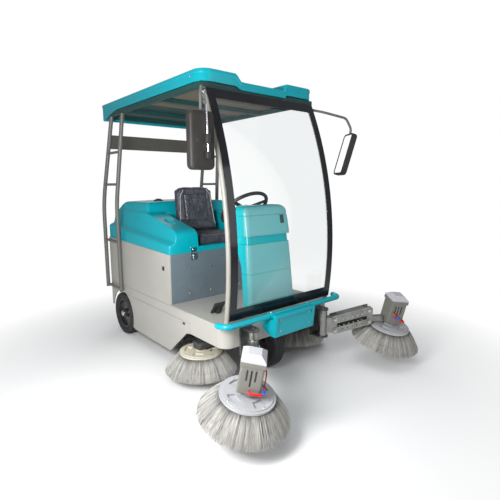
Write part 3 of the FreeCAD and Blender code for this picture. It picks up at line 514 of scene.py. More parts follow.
# the console's front face: a paler grey-cyan that is a painted reflection, left off the undercut band, which stays
# darker as painted shade
consoleReflection = {"colour": (0.17, 0.50, 0.52), "lean": 0.115, "edge": (0.512, 0.528), "band": (0.930, 0.985)}
consoleShell = shellFinish("consoleShell", (0.0, 0.42, 0.47), consoleReflection)
redWire = plasticFinish("redWire", (0.62, 0.012, 0.012), 0.35, 500.0, 0.05)
mirrorShell = plasticFinish("mirrorShell", (0.014, 0.0125, 0.011), 0.6, 420.0, 0.2)
pillarPaint = paintFinish("pillarPaint", (0.30, 0.29, 0.26), gloss=0.4)
# the rear cross plate: the tubes' grey steel painted darker, a painted shade
crossPaint = paintFinish("crossPaint", (0.085, 0.08, 0.07), gloss=0.45)
# a dark teal, given to the roof frame in place of its grey, to the console's slot, and to the sheet under the
# canopy's rear, which is a painted shade
beamPaint = paintFinish("beamPaint", (0.008, 0.055, 0.052), gloss=0.5)
creamPlate = plasticFinish("creamPlate", (0.50, 0.47, 0.38), 0.42, 520.0, 0.12)
chrome = metalFinish("chromePlate", (0.78, 0.79, 0.80), 0.14, scale=40.0)
boltZinc = metalFinish("boltZinc", (0.62, 0.62, 0.60), 0.30, (1, 1, 1), 200.0)
mirrorGlass = mirrorFinish("mirrorGlass")
liningBoard = boardFinish("liningBoard", (0.19, 0.155, 0.11))
paleVinyl = plasticFinish("paleVinyl", (0.50, 0.46, 0.42), 0.4, 500.0, 0.1)
blueNylon = plasticFinish("blueNylon", (0.01, 0.09, 0.42), 0.35, 500.0, 0.05)
keyGrey = plasticFinish("keyGrey", (0.16, 0.17, 0.18), 0.5)
displayPane = plasticFinish("displayPane", (0.012, 0.016, 0.022), 0.08, 200.0, 0.01)


cover = {"wall": (0.155, 0.150, 0.130), "lid": (0.46, 0.46, 0.49), "lidHigh": 0.034, "fade": 0.001}


def coverFinish(side):
    # a motor's cover: grey walls, and above a level along its leaning axis a white lid
    along = joints["front_brush_%s_spin" % side]["axis"]
    foot = max(np.dot(v.co, along) for v in nodes["motor_cover_" + side].data.vertices) - cover["lidHigh"]
    f = Finish("cover_" + side)
    height = f.axis("X") * along[0] + f.axis("Z") * along[2]
    cloud = f.noise(14.0, 4.0)
    tone = f.mixed(f.spread(height, foot, foot + cover["fade"]), f.mottled(cloud, cover["wall"], 1, 1.15),
                   cover["lid"])
    return f.finished(Base_Color=tone, Roughness=0.36 + (cloud - 0.5) * 0.12,
                      Normal=f.bump(f.noise(260.0, 2.0), 0.06, 0.0006, f.softEdges(0.002)))


ownFinish = {"front_pillars": pillarPaint, "rear_cross_plate": crossPaint, "roof_frame": beamPaint,
             "motor_cover_right": coverFinish("right"), "motor_cover_left": coverFinish("left"),
             "mid_plate_right": creamPlate, "mid_plate_left": creamPlate}
for row in frame["record"]["subparts"]:
    mesh = nodes[row["node"]].data
    mesh.materials.clear()
    mesh.materials.append(ownFinish.get(row["node"]) or finishes[row["material_slot"]])
print("finishes:", len(finishes))


# Side brushes: strands in tufts, set in rings under the plate

brush = {"rings": ((0.140, 0.247, 112, 0.0), (0.127, 0.226, 100, 0.5), (0.113, 0.203, 84, 0.25)),
         "plateThick": 0.012, "drop": 0.132, "flare": 0.247, "strands": 11, "tuftWide": 0.0075,
         "strandWide": 0.0019, "steps": 5, "outPower": 0.9, "downPower": 1.15,
         "core": ((0.108, -0.013), (0.108, -0.040), (0.170, -0.098), (0.200, -0.092), (0.134, -0.013)),
         "bolts": {"count": 4, "circle": 0.126, "radius": 0.006, "height": 0.006}}
stray = {"spread": 0.30, "fan": 0.34, "wander": 0.012, "length": 0.018, "root": 0.0022, "tip": 0.0045}


def strandPaths(rings, drop):
    # a strand leaves the plate at a tuft's angle and falls outwards: the radius grows with t to
    # the power 0.9 and the drop with t to the power 1.15, and each strand strays a little
    paths, tones = [], []
    strands, tuftWide = brush["strands"], brush["tuftWide"]
    t = np.linspace(0, 1, brush["steps"])
    for root, tip, tufts, offset in rings:
        tuft = np.repeat((np.arange(tufts) + offset) * 2 * pi / tufts, strands)
        count = len(tuft)
        spread = random.normal(0, stray["spread"], count) * tuftWide / root
        fan = random.normal(0, stray["fan"], count) * tuftWide / root
        wander = random.normal(0, stray["wander"], count)
        length = np.minimum(1 + random.normal(0, stray["length"], count), 1.0)[:, None]
        rootR = root + random.normal(0, stray["root"], count)
        tipR = np.minimum(tip + random.normal(0, stray["tip"], count), brush["flare"])
        angle = (tuft + spread)[:, None] + (fan + wander * 0.6)[:, None] * t
        radius = rootR[:, None] + (tipR - rootR)[:, None] * (t ** brush["outPower"] * length)
        z = -drop * length * t ** brush["downPower"]
        paths.append(np.stack([radius * np.cos(angle), radius * np.sin(angle), z + 0 * radius], -1))
        toneOfTuft = np.repeat(random.uniform(0.25, 1.0, tufts), strands)
        tones.append(np.clip(toneOfTuft * 0.75 + random.uniform(-0.15, 0.4, count), 0, 1))
    return np.concatenate(paths), np.concatenate(tones)


def strandMesh(name, paths, tones, wide):
    # each path carries a three-sided section, shut at its root and its tip by a triangle
    count, steps = paths.shape[:2]
    tangent = np.gradient(paths, axis=1)
    tangent /= np.linalg.norm(tangent, axis=2)[..., None]
    across = np.cross(tangent, np.array([0.01, 0, 1.0]))
    across /= np.maximum(np.linalg.norm(across, axis=2)[..., None], 1e-9)
    out = np.cross(tangent, across)
    turn = random.uniform(0, 2 * pi, count)[:, None, None]
    rings = []
    for k in range(3):
        a = turn + k * 2 * pi / 3
        rings.append(paths + wide / 2 * (np.cos(a) * across + np.sin(a) * out))
    points = np.stack(rings, 2)
    cell = gridFaces(steps, 3, False, True)
    shift = np.arange(count) * steps * 3
    quads = (cell[None] + shift[:, None, None]).reshape(-1, 4)
    caps = [end + s for s in shift for end in (np.array([2, 1, 0]), (steps - 1) * 3 + np.arange(3))]
    mesh = meshFrom(name, points.reshape(-1, 3), quads, caps)
    for key, values in (("tone", np.repeat(tones, steps * 3)),
                        ("reach", np.tile(np.repeat(np.linspace(0, 1, steps), 3), count))):
        mesh.attributes.new(key, "FLOAT", "POINT").data.foreach_set("value", values.astype(np.float32))
    return mesh


def placed(mesh, origin, turn):
    mesh.transform(Matrix([[*turn[i], origin[i]] for i in range(3)] + [[0, 0, 0, 1]]))
    return mesh


def sideBrush(where, side):
    joint = joints["%s_brush_%s_spin" % (where, side)]
    body = "%s_brush_%s" % (where, side)
    turn = axes(joint["axis"], (1, 0, 0))
    origin = np.array(joint["pos_m"])
    name = "%s_bristles_%s" % (where, side)
    paths, tones = strandPaths(brush["rings"], brush["drop"] - brush["plateThick"])
    paths[..., 2] -= brush["plateThick"]
    mesh = strandMesh(name + "_strands", paths, tones, brush["strandWide"])
    strands = piece(name + "_strands", placed(mesh, origin, turn), finishes["bristle"], body)
    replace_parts(strands, name)
    # a black cone among the strands' roots: a painted shade inside the brush
    core = lathe(brush["core"], 56) @ turn.T + origin
    ringPiece(name + "_core", [core], black, body)
    row = brush["bolts"]
    angles = np.arange(row["count"]) * 2 * pi / row["count"]
    spots = [origin + turn @ (row["circle"] * cos(a), row["circle"] * sin(a), 0) for a in angles]
    bolts("%s_plate_bolts_%s" % (where, side), spots, turn[:, 2], row["radius"], row["height"], boltZinc,
          body, "zinc_channel")


for side in sides:
    sideBrush("front", side)
    sideBrush("mid", side)
print("side brushes")


# Main roller: eight ribs of tufts along a tube

roller = {"radius": 0.140, "core": 0.060, "root": 0.055, "half": 0.300, "ribs": 8, "tufts": 60, "strands": 6,
          "wide": 0.0024, "steps": 4, "twist": 0.06, "end": 0.008, "bore": 0.018, "chamfer": 0.004,
          "aside": 0.05, "lean": 0.035, "short": 0.0025}


def rollerStrands():
    # each strand runs straight out from the tube, leaning a little either way
    ribs, tufts, strands = roller["ribs"], roller["tufts"], roller["strands"]
    rib, tuft = np.meshgrid(np.arange(ribs), np.linspace(-1, 1, tufts), np.arange(strands), indexing="ij")[:2]
    count = rib.size
    along = tuft.ravel() * (roller["half"] - roller["end"])
    base = (rib.ravel() + roller["twist"] * tuft.ravel()) * 2 * pi / ribs
    t = np.linspace(0, 1, roller["steps"])
    start = base + random.normal(0, roller["aside"], count)
    angle = start[:, None] + random.normal(0, roller["lean"], count)[:, None] * t
    reach = roller["radius"] - 0.0008 - np.abs(random.normal(0, roller["short"], count))
    radius = roller["root"] + (reach - roller["root"])[:, None] * t
    y = along[:, None] + random.normal(0, 0.003, count)[:, None] * t
    paths = np.stack([radius * np.cos(angle), y, radius * np.sin(angle)], -1)
    return paths, np.clip(random.normal(0.5, 0.25, count), 0, 1)


rollerSpin = np.array(joints["roller_spin"]["pos_m"])
rollerMesh = placed(strandMesh("roller_strands", *rollerStrands(), roller["wide"]), rollerSpin, np.eye(3))
rollerPiece = piece("roller_strands", rollerMesh, finishes["bristle"], "roller_brush")
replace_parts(rollerPiece, "roller_brush")
end, rim, chamfer = roller["half"], roller["core"], roller["chamfer"]
tubeHalf = [(rim, end - chamfer), (rim - chamfer, end), (roller["bore"], end)]
tube = lathe([(r, -h) for r, h in tubeHalf[::-1]] + tubeHalf, 40, rollerSpin, (0, 1, 0))
solidPiece("roller_tube", [tube], black, "roller_brush", smooth=True)
print("roller")


# Tyres: solid rubber with three grooves round the tread and slanted cuts at its shoulders

tyre = {"wall": 0.058, "shoulder": 0.012, "lip": 0.006, "columns": 25, "round": 220, "grooveDeep": 0.0035,
        "grooveWide": 0.0035, "grooveApart": 0.2, "cuts": 44, "cutDeep": 0.004, "cutLean": 2.2,
        "cutFrom": 0.24, "cutNarrow": 0.55, "cutSteep": 4, "band": 0.002}


def tyreGrid(centre, radius, wide):
    # a closed section turned about the axle; the tread's radius drops where a groove or a cut runs
    half, shoulder, lip = wide / 2, tyre["shoulder"], tyre["lip"]
    across = np.linspace(-half + shoulder, half - shoulder, tyre["columns"])
    bend = np.linspace(0, pi / 2, 5)[1:]
    right = (half - shoulder, radius - shoulder) + shoulder * np.stack([np.sin(bend), np.cos(bend)], 1)
    tread = np.stack([across, np.full(len(across), radius)], 1)
    foot = np.array([[half - lip, radius - tyre["wall"]]])
    y, r = np.concatenate([foot * (-1, 1), (right * (-1, 1))[::-1], tread, right, foot]).T
    angle = np.arange(tyre["round"]) * 2 * pi / tyre["round"]
    onTread = (r > radius - tyre["band"])[:, None]
    groove = sum(np.exp(-((y - k * wide * tyre["grooveApart"]) / tyre["grooveWide"]) ** 2)
                 for k in (-1, 0, 1))[:, None]
    aside = np.abs(y)[:, None]
    slant = np.cos(tyre["cuts"] * (angle[None] + aside * tyre["cutLean"]))
    cut = np.clip((slant - tyre["cutNarrow"]) * tyre["cutSteep"], 0, 1) * (aside > wide * tyre["cutFrom"])
    rr = r[:, None] - onTread * np.maximum(groove * tyre["grooveDeep"], cut * tyre["cutDeep"])
    local = np.stack([rr * np.sin(angle), np.repeat(y[:, None], len(angle), 1), rr * np.cos(angle)], -1)
    return local + np.asarray(centre)


for name, body in (("front_tyre", "front_wheel"), ("rear_tyre_right", "rear_wheel_right"),
                   ("rear_tyre_left", "rear_wheel_left")):
    low, high = (np.array(corner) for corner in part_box(name))
    grid = tyreGrid((low + high) / 2, (high[2] - low[2]) / 2, high[1] - low[1])
    tyrePiece = ringPiece(name + "_treaded", [grid], finishes["tyre_rubber"], body)
    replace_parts(tyrePiece, name)

hub = {"cap": ((0.026, -0.004), (0.026, 0.006), (0.023, 0.011), (0.012, 0.0135)), "aside": 0.004, "away": 0.3,
       "nuts": 5, "circle": 0.052, "nut": (0.007, 0.010)}
for side, s in sides.items():
    axle = np.array(joints["rear_wheel_%s_spin" % side]["pos_m"])
    nutAngles = pi / 2 + np.arange(hub["nuts"]) * 2 * pi / hub["nuts"]
    feet = [surface("rear_rim_" + side, axle + (x, s * hub["away"], z), (0, -s, 0))[0]
            for x, z in [(hub["aside"], hub["aside"])] + [(hub["circle"] * cos(a), hub["circle"] * sin(a))
                                                          for a in nutAngles]]
    cap = lathe(hub["cap"], 32, (axle[0], feet[0][1], axle[2]), (0, s, 0))
    solidPiece("hub_cap_" + side, [cap], chrome, "rear_wheel_" + side, smooth=True)
    bolts("wheel_nuts_" + side, feet[1:], (0, s, 0), *hub["nut"], boltZinc, "rear_wheel_" + side, "wheel_rim")
print("wheels")


# Seat: the solids of the pads are remeshed, given seams, and swollen as cloth held at those seams

seat = {"voxel": 0.005, "shrink": 0.004, "pressure": 4.0, "frames": 20, "cap": 0.009, "spare": -0.045,
        "seamWide": 0.006, "seamDeep": 0.008, "gather": 0.0022, "corner": 0.048, "flare": 0.021,
        "facing": 0.3, "panelEdge": 0.003, "pinned": 0.6, "pinnedRuck": -0.72}
panels = {"seat_back": {"half": 0.112, "low": 1.035, "high": 1.262, "along": 2, "out": 0},
          "seat_cushion": {"half": 0.118, "low": -0.20, "high": 0.035, "along": 0, "out": 2}}
pipe = {"radius": 0.0028, "lift": 0.0008, "passes": 6, "foot": (-0.215, 0.178, 0.96),
        "lean": (-0.048, -0.028, 0.35), "levels": (0.985, 1.262), "corner": (-0.258, 0.150), "bend": 0.034,
        "rise": 0.006}


def vectors(rows, field):
    flat = np.empty(len(rows) * 3, np.float32)
    rows.foreach_get(field, flat)
    return flat.reshape(-1, 3).astype(float)


def moveTo(mesh, points):
    mesh.vertices.foreach_set("co", points.astype(np.float32).ravel())
    mesh.update()


def applied(obj):
    # the mesh as its modifiers leave it, with none of them left
    seen = bpy.context.evaluated_depsgraph_get()
    mesh = bpy.data.meshes.new_from_object(obj.evaluated_get(seen))
    obj.modifiers.clear()
    obj.data = mesh
    return obj


def padForm(name, node):
    # the pad's solid with its loose triangles merged, remeshed evenly
    form = bmesh.new()
    form.from_mesh(nodes[node].data)
    bmesh.ops.remove_doubles(form, verts=form.verts, dist=1e-5)
    mesh = bpy.data.meshes.new(name)
    form.to_mesh(mesh)
    form.free()
    obj = added(name, mesh)
    remesh = obj.modifiers.new("remesh", "REMESH")
    remesh.mode = "VOXEL"
    remesh.voxel_size = seat["voxel"]
    return applied(obj)


def shoulders(points, node):
    # the backrest is a little wider at its foot, and each top corner is drawn round from its square
    # to an arc: both its distances from the arc's centre shrink by their larger over their length
    low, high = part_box(node)
    half, top = (high[1] - low[1]) / 2, high[2]
    y, z = points[:, 1] + middle[1], points[:, 2]
    y = y * (1 + seat["flare"] / half * (top - z) / (top - low[2]))
    corner = seat["corner"]
    u, v = np.abs(y) - (half - corner), z - (top - corner)
    squeeze = np.where((u > 0) & (v > 0), np.maximum(u, v) / np.maximum(np.hypot(u, v), 1e-9), 1.0)
    y = np.where(u > 0, np.sign(y) * (half - corner + u * squeeze), y)
    z = np.where(v > 0, top - corner + v * squeeze, z)
    return np.stack([points[:, 0], y - middle[1], z], 1)


def seam(panel, points, normals):
    # distance from the outline of the stitched panel, for points that face its way, whether they lie
    # in it, and their places across and along it
    across, along = (points + middle)[:, 1], (points + middle)[:, panel["along"]]
    beyond = np.maximum(along - panel["high"], panel["low"] - along)
    outside = np.maximum(np.abs(across) - panel["half"], beyond)
    shown = normals[:, panel["out"]] > seat["facing"]
    return np.where(shown, np.abs(outside), 1.0), (outside < seat["panelEdge"]) & shown, across, along


def clothed(obj, points, held):
    # the cloth swells under pressure between the points that are held, and by no more than the cap
    group = obj.vertex_groups.new(name="held")
    group.add(np.flatnonzero(held).tolist(), 1.0, "REPLACE")
    cloth = obj.modifiers.new("cloth", "CLOTH")
    cloth.settings.use_pressure = True
    cloth.settings.uniform_pressure_force = seat["pressure"]
    cloth.settings.vertex_group_mass = "held"
    cloth.settings.shrink_min = seat["spare"]
    cloth.settings.quality = 5
    cloth.settings.effector_weights.gravity = 0
    cloth.point_cache.frame_end = seat["frames"]
    for step in range(1, seat["frames"] + 1):
        bpy.context.scene.frame_set(step)
    applied(obj)
    bpy.context.scene.frame_set(1)
    moved = vectors(obj.data.vertices, "co") - points
    length = np.linalg.norm(moved, axis=1)[:, None]
    moveTo(obj.data, points + moved * np.minimum(1, seat["cap"] / np.maximum(length, 1e-9)))
    obj.vertex_groups.clear()


def swollen(obj, node):
    # the seams are sunk and pinned, the panel inside them is gathered by two crossed sines, each bent
    # by a slower one, and the cloth between swells
    mesh = obj.data
    if node == "seat_back":
        moveTo(mesh, shoulders(vectors(mesh.vertices, "co"), node))
    points, normals = vectors(mesh.vertices, "co"), vectors(mesh.vertex_normals, "vector")
    away, inside, across, along = seam(panels[node], points, normals)
    groove = np.exp(-(away / seat["seamWide"]) ** 2)
    ruck = np.sin(across * 150 + 2.2 * np.sin(along * 47)) * np.sin(along * 120 + 2.5 * np.sin(across * 61))
    rise = -seat["shrink"] - groove * seat["seamDeep"] + np.where(inside, ruck * seat["gather"], 0)
    points = points + normals * rise[:, None]
    moveTo(mesh, points)
    stitched = away < seat["seamWide"] * seat["pinned"]
    clothed(obj, points, stitched | (inside & (ruck < seat["pinnedRuck"])))
    obj.data.polygons.foreach_set("use_smooth", [True] * len(obj.data.polygons))
    obj.data.update()
    finer = obj.modifiers.new("finer", "SUBSURF")
    finer.levels = finer.render_levels = 1
    return obj


def pad(name, node):
    obj = swollen(padForm(name, node), node)
    obj.data.materials.clear()
    obj.data.materials.append(finishes["seat_leather"])
    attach(obj, "hood")
    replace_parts(obj, node)
    return obj


def piping(name, obj, s):
    # a cord of vinyl up one edge of the backrest and round its top corner, laid on the nearest points
    foot, lean, bend = pipe["foot"], pipe["lean"], pipe["bend"]
    x, y = pipe["corner"]
    path = [at(foot[0] + lean[0] * k, s * (foot[1] + lean[1] * k), foot[2] + lean[2] * k)
            for k in (np.linspace(*pipe["levels"], 24) - foot[2]) / lean[2]]
    path += [at(x, s * (y - bend * sin(a)), pipe["levels"][1] + bend * (1 - cos(a)) + pipe["rise"] * sin(a))
             for a in np.linspace(0.2, pi / 2, 8)]
    tree = treeOf(obj.data)
    found = [tree.find_nearest(Vector(spot))[:2] for spot in path]
    route = np.array([near + normal * pipe["lift"] for near, normal in found])
    for turn in range(pipe["passes"]):
        route[1:-1] = (route[:-2] + 2 * route[1:-1] + route[2:]) / 4
    cord = tubeGrid(route, pipe["radius"], 8)
    return solidPiece(name, [cord], paleVinyl, "hood", smooth=True)


pad("seat_base_pad", "seat_cushion")
seatBack = pad("seat_back_pad", "seat_back")
for side, s in sides.items():
    piping("seat_piping_" + side, seatBack, s)
print("seat")


# Mirrors: a domed head with glass in its sunk face, and the right one's stem with its clamps and loop

mirror = {"right": {"centre": (0.748, -0.611, 1.582), "turn": 0, "tilt": 0},
          "left": {"centre": (0.698, 0.798, 1.561), "turn": 59, "tilt": 16},
          "halfHigh": 0.164, "halfWide": 0.084, "corner": 0.030, "border": 0.0135, "sunk": 0.020,
          "thick": 0.003,
          "stem": ((0.731, -0.596, 1.852), (0.762, -0.598, 1.838), (0.7785, -0.5975, 1.79),
                   (0.7825, -0.594, 1.72), (0.7825, -0.590, 1.60), (0.7825, -0.586, 1.488)), "wire": 0.0065,
          "clamps": ((1.590, 0.028), (1.500, 0.020)), "socket": (0.7748, -0.649, 1.579)}
headProfile = [(0.012, -0.0200), (0.012, -0.0255), (0.009, -0.0260), (0.003, -0.0258), (0.0006, -0.0235),
               (0, -0.020), (0, 0.006), (0.0016, 0.013), (0.005, 0.0185), (0.011, 0.0222), (0.020, 0.0245),
               (0.036, 0.0258), (0.060, 0.0262)]
border, sunk, thick = mirror["border"], mirror["sunk"], mirror["thick"]
glassProfile = [(0, sunk - 0.0002), (0, sunk + thick - 0.001), (0.001, sunk + thick)]
for side in sides:
    place = mirror[side]
    centre = at(*place["centre"])
    stand = np.array(Matrix.Rotation(radians(place["turn"]), 3, "Z")
                     @ Matrix.Rotation(radians(place["tilt"]), 3, "Y"))
    head = block(mirror["halfHigh"], mirror["halfWide"], mirror["corner"], headProfile,
                 stand @ axes((1, 0, 0)), centre, 8)
    headPiece = solidPiece("mirror_head_" + side, [head], mirrorShell, smooth=True)
    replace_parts(headPiece, "mirror_heads")
    pane = block(mirror["halfHigh"] - border, mirror["halfWide"] - border, mirror["corner"] - border,
                 glassProfile, stand @ axes((-1, 0, 0)), centre, 6)
    solidPiece("mirror_glass_" + side, [pane], mirrorGlass, "root")

stem = smoothPath([at(*spot) for spot in mirror["stem"]], 40)
solidPiece("mirror_stem", [tubeGrid(stem, mirror["wire"], 14)], chrome, "root", smooth=True)
clamps = [softBlock((0.016, 0.013, half), 0.003, np.eye(3), at(0.780, -0.589, level))
          for level, half in mirror["clamps"]]
solidPiece("mirror_clamps", clamps, black)
mirrorSocket = softBlock((0.011, 0.011, 0.0012), 0.0006, axes((1, 0, 0)), at(*mirror["socket"]))
solidPiece("mirror_socket", [mirrorSocket], black)

loop = {"centre": (0.722, -0.566, 1.828), "high": 0.036, "wide": 0.014, "wire": 0.0042, "turn": -35,
        "steps": 36, "round": 10}


def loopGrid():
    # a wire bent into a long oval
    t = np.arange(loop["steps"]) * 2 * pi / loop["steps"]
    path = np.stack([loop["wide"] * np.cos(t), 0 * t, loop["high"] * np.sin(t)], 1)
    tangent = np.stack([-loop["wide"] * np.sin(t), 0 * t, loop["high"] * np.cos(t)], 1)
    tangent /= np.linalg.norm(tangent, axis=1)[:, None]
    across = np.array([0, 1.0, 0])
    out = np.cross(np.broadcast_to(across, tangent.shape), tangent)
    a = (np.arange(loop["round"]) * 2 * pi / loop["round"])[None, :, None]
    ring = path[:, None] + loop["wire"] * (np.cos(a) * out[:, None] + np.sin(a) * across)
    return ring @ turned(loop["turn"]).T + at(*loop["centre"])


ringPiece("mirror_loop", [loopGrid()], chrome, "root")
print("mirrors")


# Front brush arms: black plates in the slots of the motor covers as painted shade, pin heads, the motors' wires
# and plugs

arm = {"pinHead": 0.0385, "pin": (0.0095, 0.007), "slotLong": {"wide": 0.048, "short": 0.031},
       "slotHalf": 0.0043, "slotTop": 0.1803, "slotApart": 0.022, "slotLevel": 0.118, "away": 0.09,
       "plug": {"right": (0.056, 0.074, 0.066), "left": (0.010, -0.074, 0.092)},
       "plugHalf": (0.015, 0.0075, 0.0065), "wire": 0.0032, "wireDrops": {"a": 0.0, "b": 0.008},
       "leads": ((-0.034, 0.0603, 0.132), (-0.034, 0.074, 0.128), (-0.006, 0.0765, 0.108),
                 (0.034, 0.075, 0.078), (0.066, 0.072, 0.064), (0.0745, 0.040, 0.062),
                 (0.0735, 0.006, 0.062), (0.0603, -0.004, 0.062))}


def motorFrame(side):
    # the brush's own axes: its third is the spin axis and its first lies along the arm
    spin = joints["front_brush_%s_spin" % side]
    swing = joints["arm_swing_" + side]
    run = np.array(spin["pos_m"]) - np.array(swing["pos_m"])
    lean = degrees(acos(abs(spin["axis"][2])))
    return np.array(spin["pos_m"]), turned(degrees(atan2(run[1], run[0])), lean)


def slotShades(side, origin, turn):
    # black plates at the foot of each slot in the motor's cover, on its outer face and its two sides: painted
    # shade inside the slots
    shadePlates = []
    half, level = arm["slotHalf"], arm["slotLevel"]
    for out, across in (((1, 0, 0), (0, 1, 0)), ((0, 1, 0), (1, 0, 0)), ((0, -1, 0), (1, 0, 0))):
        way = turn @ np.array(out)
        slotTurn = np.stack([turn[:, 2], np.cross(way, turn[:, 2]), way], 1)
        for offset in (-arm["slotApart"], 0, arm["slotApart"]):
            long = arm["slotLong"]["short" if offset else "wide"]
            start = np.array(out) * arm["away"] + np.array(across) * offset + (0, 0, level)
            foot = surface("motor_cover_" + side, origin + turn @ start, -way)[0]
            lift = turn[:, 2] * (arm["slotTop"] - long - level)
            shadePlates.append(block(long - 0.0006, half - 0.0004, half - 0.0005, [(0, 0.0002), (0, 0.0008)],
                                slotTurn, foot + lift, 4))
    solidPiece("cover_slots_" + side, shadePlates, black, "brush_carrier_" + side)


def pinHeads(side):
    # a bolt head and a lock nut on each end of the four cross pins
    upperRoot, lowerRoot, upperTip = (np.array(joints[name % side]["pos_m"])
                                      for name in ("arm_lift_%s", "lower_link_%s_turn", "carrier_%s_level"))
    along = np.array(joints["arm_lift_" + side]["axis"])
    lowerTip = upperTip + lowerRoot - upperRoot
    for level, ends in (("upper", (upperRoot, upperTip)), ("lower", (lowerRoot, lowerTip))):
        spots = [end + s * arm["pinHead"] * along for end in ends for s in (-1, 1)]
        ways = [s * along for end in ends for s in (-1, 1)]
        bolts("%s_pin_heads_%s" % (level, side), spots, ways, *arm["pin"], boltZinc,
              "%s_link_%s" % (level, side), "zinc_channel")


def motorLeads(side, origin, turn):
    # two wires that leave one wall of the cover, run down beside it and go in again further round
    out = -sides[side]
    for key, drop in arm["wireDrops"].items():
        spots = [origin + turn @ np.array([u, out * v, z - drop * (0.4 + 0.6 * (z < 0.1))])
                 for u, v, z in arm["leads"]]
        solidPiece("motor_lead_%s_%s" % (side, key), [tubeGrid(smoothPath(spots, 40), arm["wire"])], redWire,
                   "brush_carrier_" + side, smooth=True)


def connector(side, origin, turn):
    # the blue plug housing on the motor's leads
    half = arm["plugHalf"]
    centre = origin + turn @ np.array(arm["plug"][side])
    latch = softBlock((half[0] * 0.5, half[1] * 0.3, 0.002), 0.0006, turn,
                      centre + turn @ (0, 0, half[2] + 0.0015))
    solidPiece("lead_plug_" + side, [softBlock(half, 0.0012, turn, centre), latch], blueNylon,
               "brush_carrier_" + side)


for side in sides:
    slotShades(side, *motorFrame(side))
    pinHeads(side)
    motorLeads(side, *motorFrame(side))
    connector(side, *motorFrame(side))
print("arms")


# Moulded shells: hood and canopy are heights over a plan with a skirt down to their foot

def roundOff(distance, radius):
    # how far a quarter-round edge has dropped at a distance in from its end
    into = np.clip((radius - distance) / radius, 0, 1)
    return radius * (1 - np.sqrt(1 - into ** 2))


def smaller(a, b, soft):
    # the lesser of two heights, less h^2 * soft / 4 where they lie within soft, h = 1 - |a - b| / soft
    h = np.maximum(soft - np.abs(a - b), 0) / soft
    return np.minimum(a, b) - h * h * soft / 4


def larger(a, b, soft):
    return -smaller(-a, -b, soft)


def eased(t):
    t = np.clip(t, 0, 1)
    return t * t * (3 - 2 * t)


def gridLines(*spans):
    # grid lines that keep each span's own step
    parts = [np.linspace(low, high, max(2, round((high - low) / step) + 1))[:-1]
             for low, high, step in spans]
    return np.append(np.concatenate(parts), spans[-1][1])


def bothSides(lines):
    return np.concatenate([-lines[:0:-1], lines])


def mouldedShell(name, shape, x, y, height, foot, skirt):
    # rows run along y and columns along x; past the border each goes down the skirt, whose steps are
    # (inset, share of the way to the foot, drop); the plan's rear and front corners are drawn to arcs;
    # the inner side is the outer one moved in and down by the wall
    steps = len(skirt)
    low, high = np.array([x[0], y[0]]), np.array([x[-1], y[-1]])
    levelX, levelY = (np.concatenate([np.arange(steps, 0, -1), np.zeros(n, int), np.arange(1, steps + 1)])
                      for n in (len(x), len(y)))
    level = np.maximum(*np.meshgrid(levelX, levelY))
    plan = np.stack(np.meshgrid(np.pad(x, steps, "edge"), np.pad(y, steps, "edge")), -1)
    inset, share, drop = np.array([(0.0, 0.0, 0.0), *skirt]).T[:, level]
    centre, half = (low + high) / 2, (high - low) / 2
    corner = np.where(plan[..., 0] < centre[0], *shape["corner"])
    faces = []
    for wall in (0.0, shape["wall"]):
        limit = half - (inset + wall)[..., None]
        q = np.clip(plan - centre, -limit, limit)
        over = np.abs(q) - half + corner[..., None]
        reach = np.maximum(over.max(-1), 0) / np.maximum(np.hypot(over[..., 0], over[..., 1]), 1e-9)
        squeeze = np.where((over > 0).all(-1), reach, 1.0)[..., None]
        q = np.where(over > 0, np.sign(q) * (half - corner[..., None] + over * squeeze), q)
        over = np.abs(q) - half + corner[..., None]
        outside = np.hypot(*np.moveaxis(np.maximum(over, 0), -1, 0)) + np.minimum(over.max(-1), 0)
        depth = np.maximum(corner - outside, 0)
        place = q + centre
        top = height(place[..., 0], place[..., 1], np.where(level > 0, 0, depth)) - wall
        z = np.where(level > 0, (top - drop) * (1 - share) + foot(place[..., 0], place[..., 1]) * share, top)
        faces.append(np.concatenate([place, z[..., None]], -1) - middle)
    rows, columns = level.shape
    cells = gridFaces(rows, columns)
    loop = np.concatenate([np.arange(columns), np.arange(1, rows) * columns + columns - 1,
                           (rows - 1) * columns + np.arange(columns - 2, -1, -1),
                           np.arange(rows - 2, 0, -1) * columns])
    after = np.roll(loop, -1)
    inner = rows * columns
    rim = np.stack([loop, loop + inner, after + inner, after], 1)
    quads = np.concatenate([cells, cells[:, ::-1] + inner, rim[:, ::-1]])
    mesh = meshFrom(name, np.concatenate([face.reshape(-1, 3) for face in faces]), quads)
    form = bmesh.new()
    form.from_mesh(mesh)
    bmesh.ops.remove_doubles(form, verts=form.verts, dist=1e-6)
    bmesh.ops.dissolve_degenerate(form, edges=form.edges, dist=1e-6)
    form.to_mesh(mesh)
    form.free()
    mesh.polygons.foreach_set("use_smooth", [True] * len(mesh.polygons))
    mesh.set_sharp_from_angle(angle=radians(40))
    return mesh


hood = {"half": 0.503, "front": 0.148, "rear": -0.950, "corner": (0.016, 0.016), "edge": 0.007, "wall": 0.009,
        "seam": (0.8323, 0.8683), "ledge": (0.921, 1.003), "ledgeFall": 0.025, "ledgeBlend": 0.040,
        "armHalf": 0.450, "arm": (1.006, 1.110), "armSlope": 6.0, "armEdge": 0.022, "nose": 0.064,
        "blockFront": -0.345, "blockTop": 1.200, "blockLean": 2.4, "blockSide": 3.9, "blockEdge": 0.050,
        "blockFoot": 1.100, "blockBlend": 0.030, "crown": 0.05, "climbFrom": 0.088, "dome": 0.190,
        "wellHalf": 0.250, "wellBack": -0.330, "wellFloor": 0.872, "wellSteep": 20.0, "wellEdge": 0.012,
        "cup": {"x": -0.105, "y": 0.350, "long": 0.072, "wide": 0.030, "deep": 0.014, "ease": 0.45}}


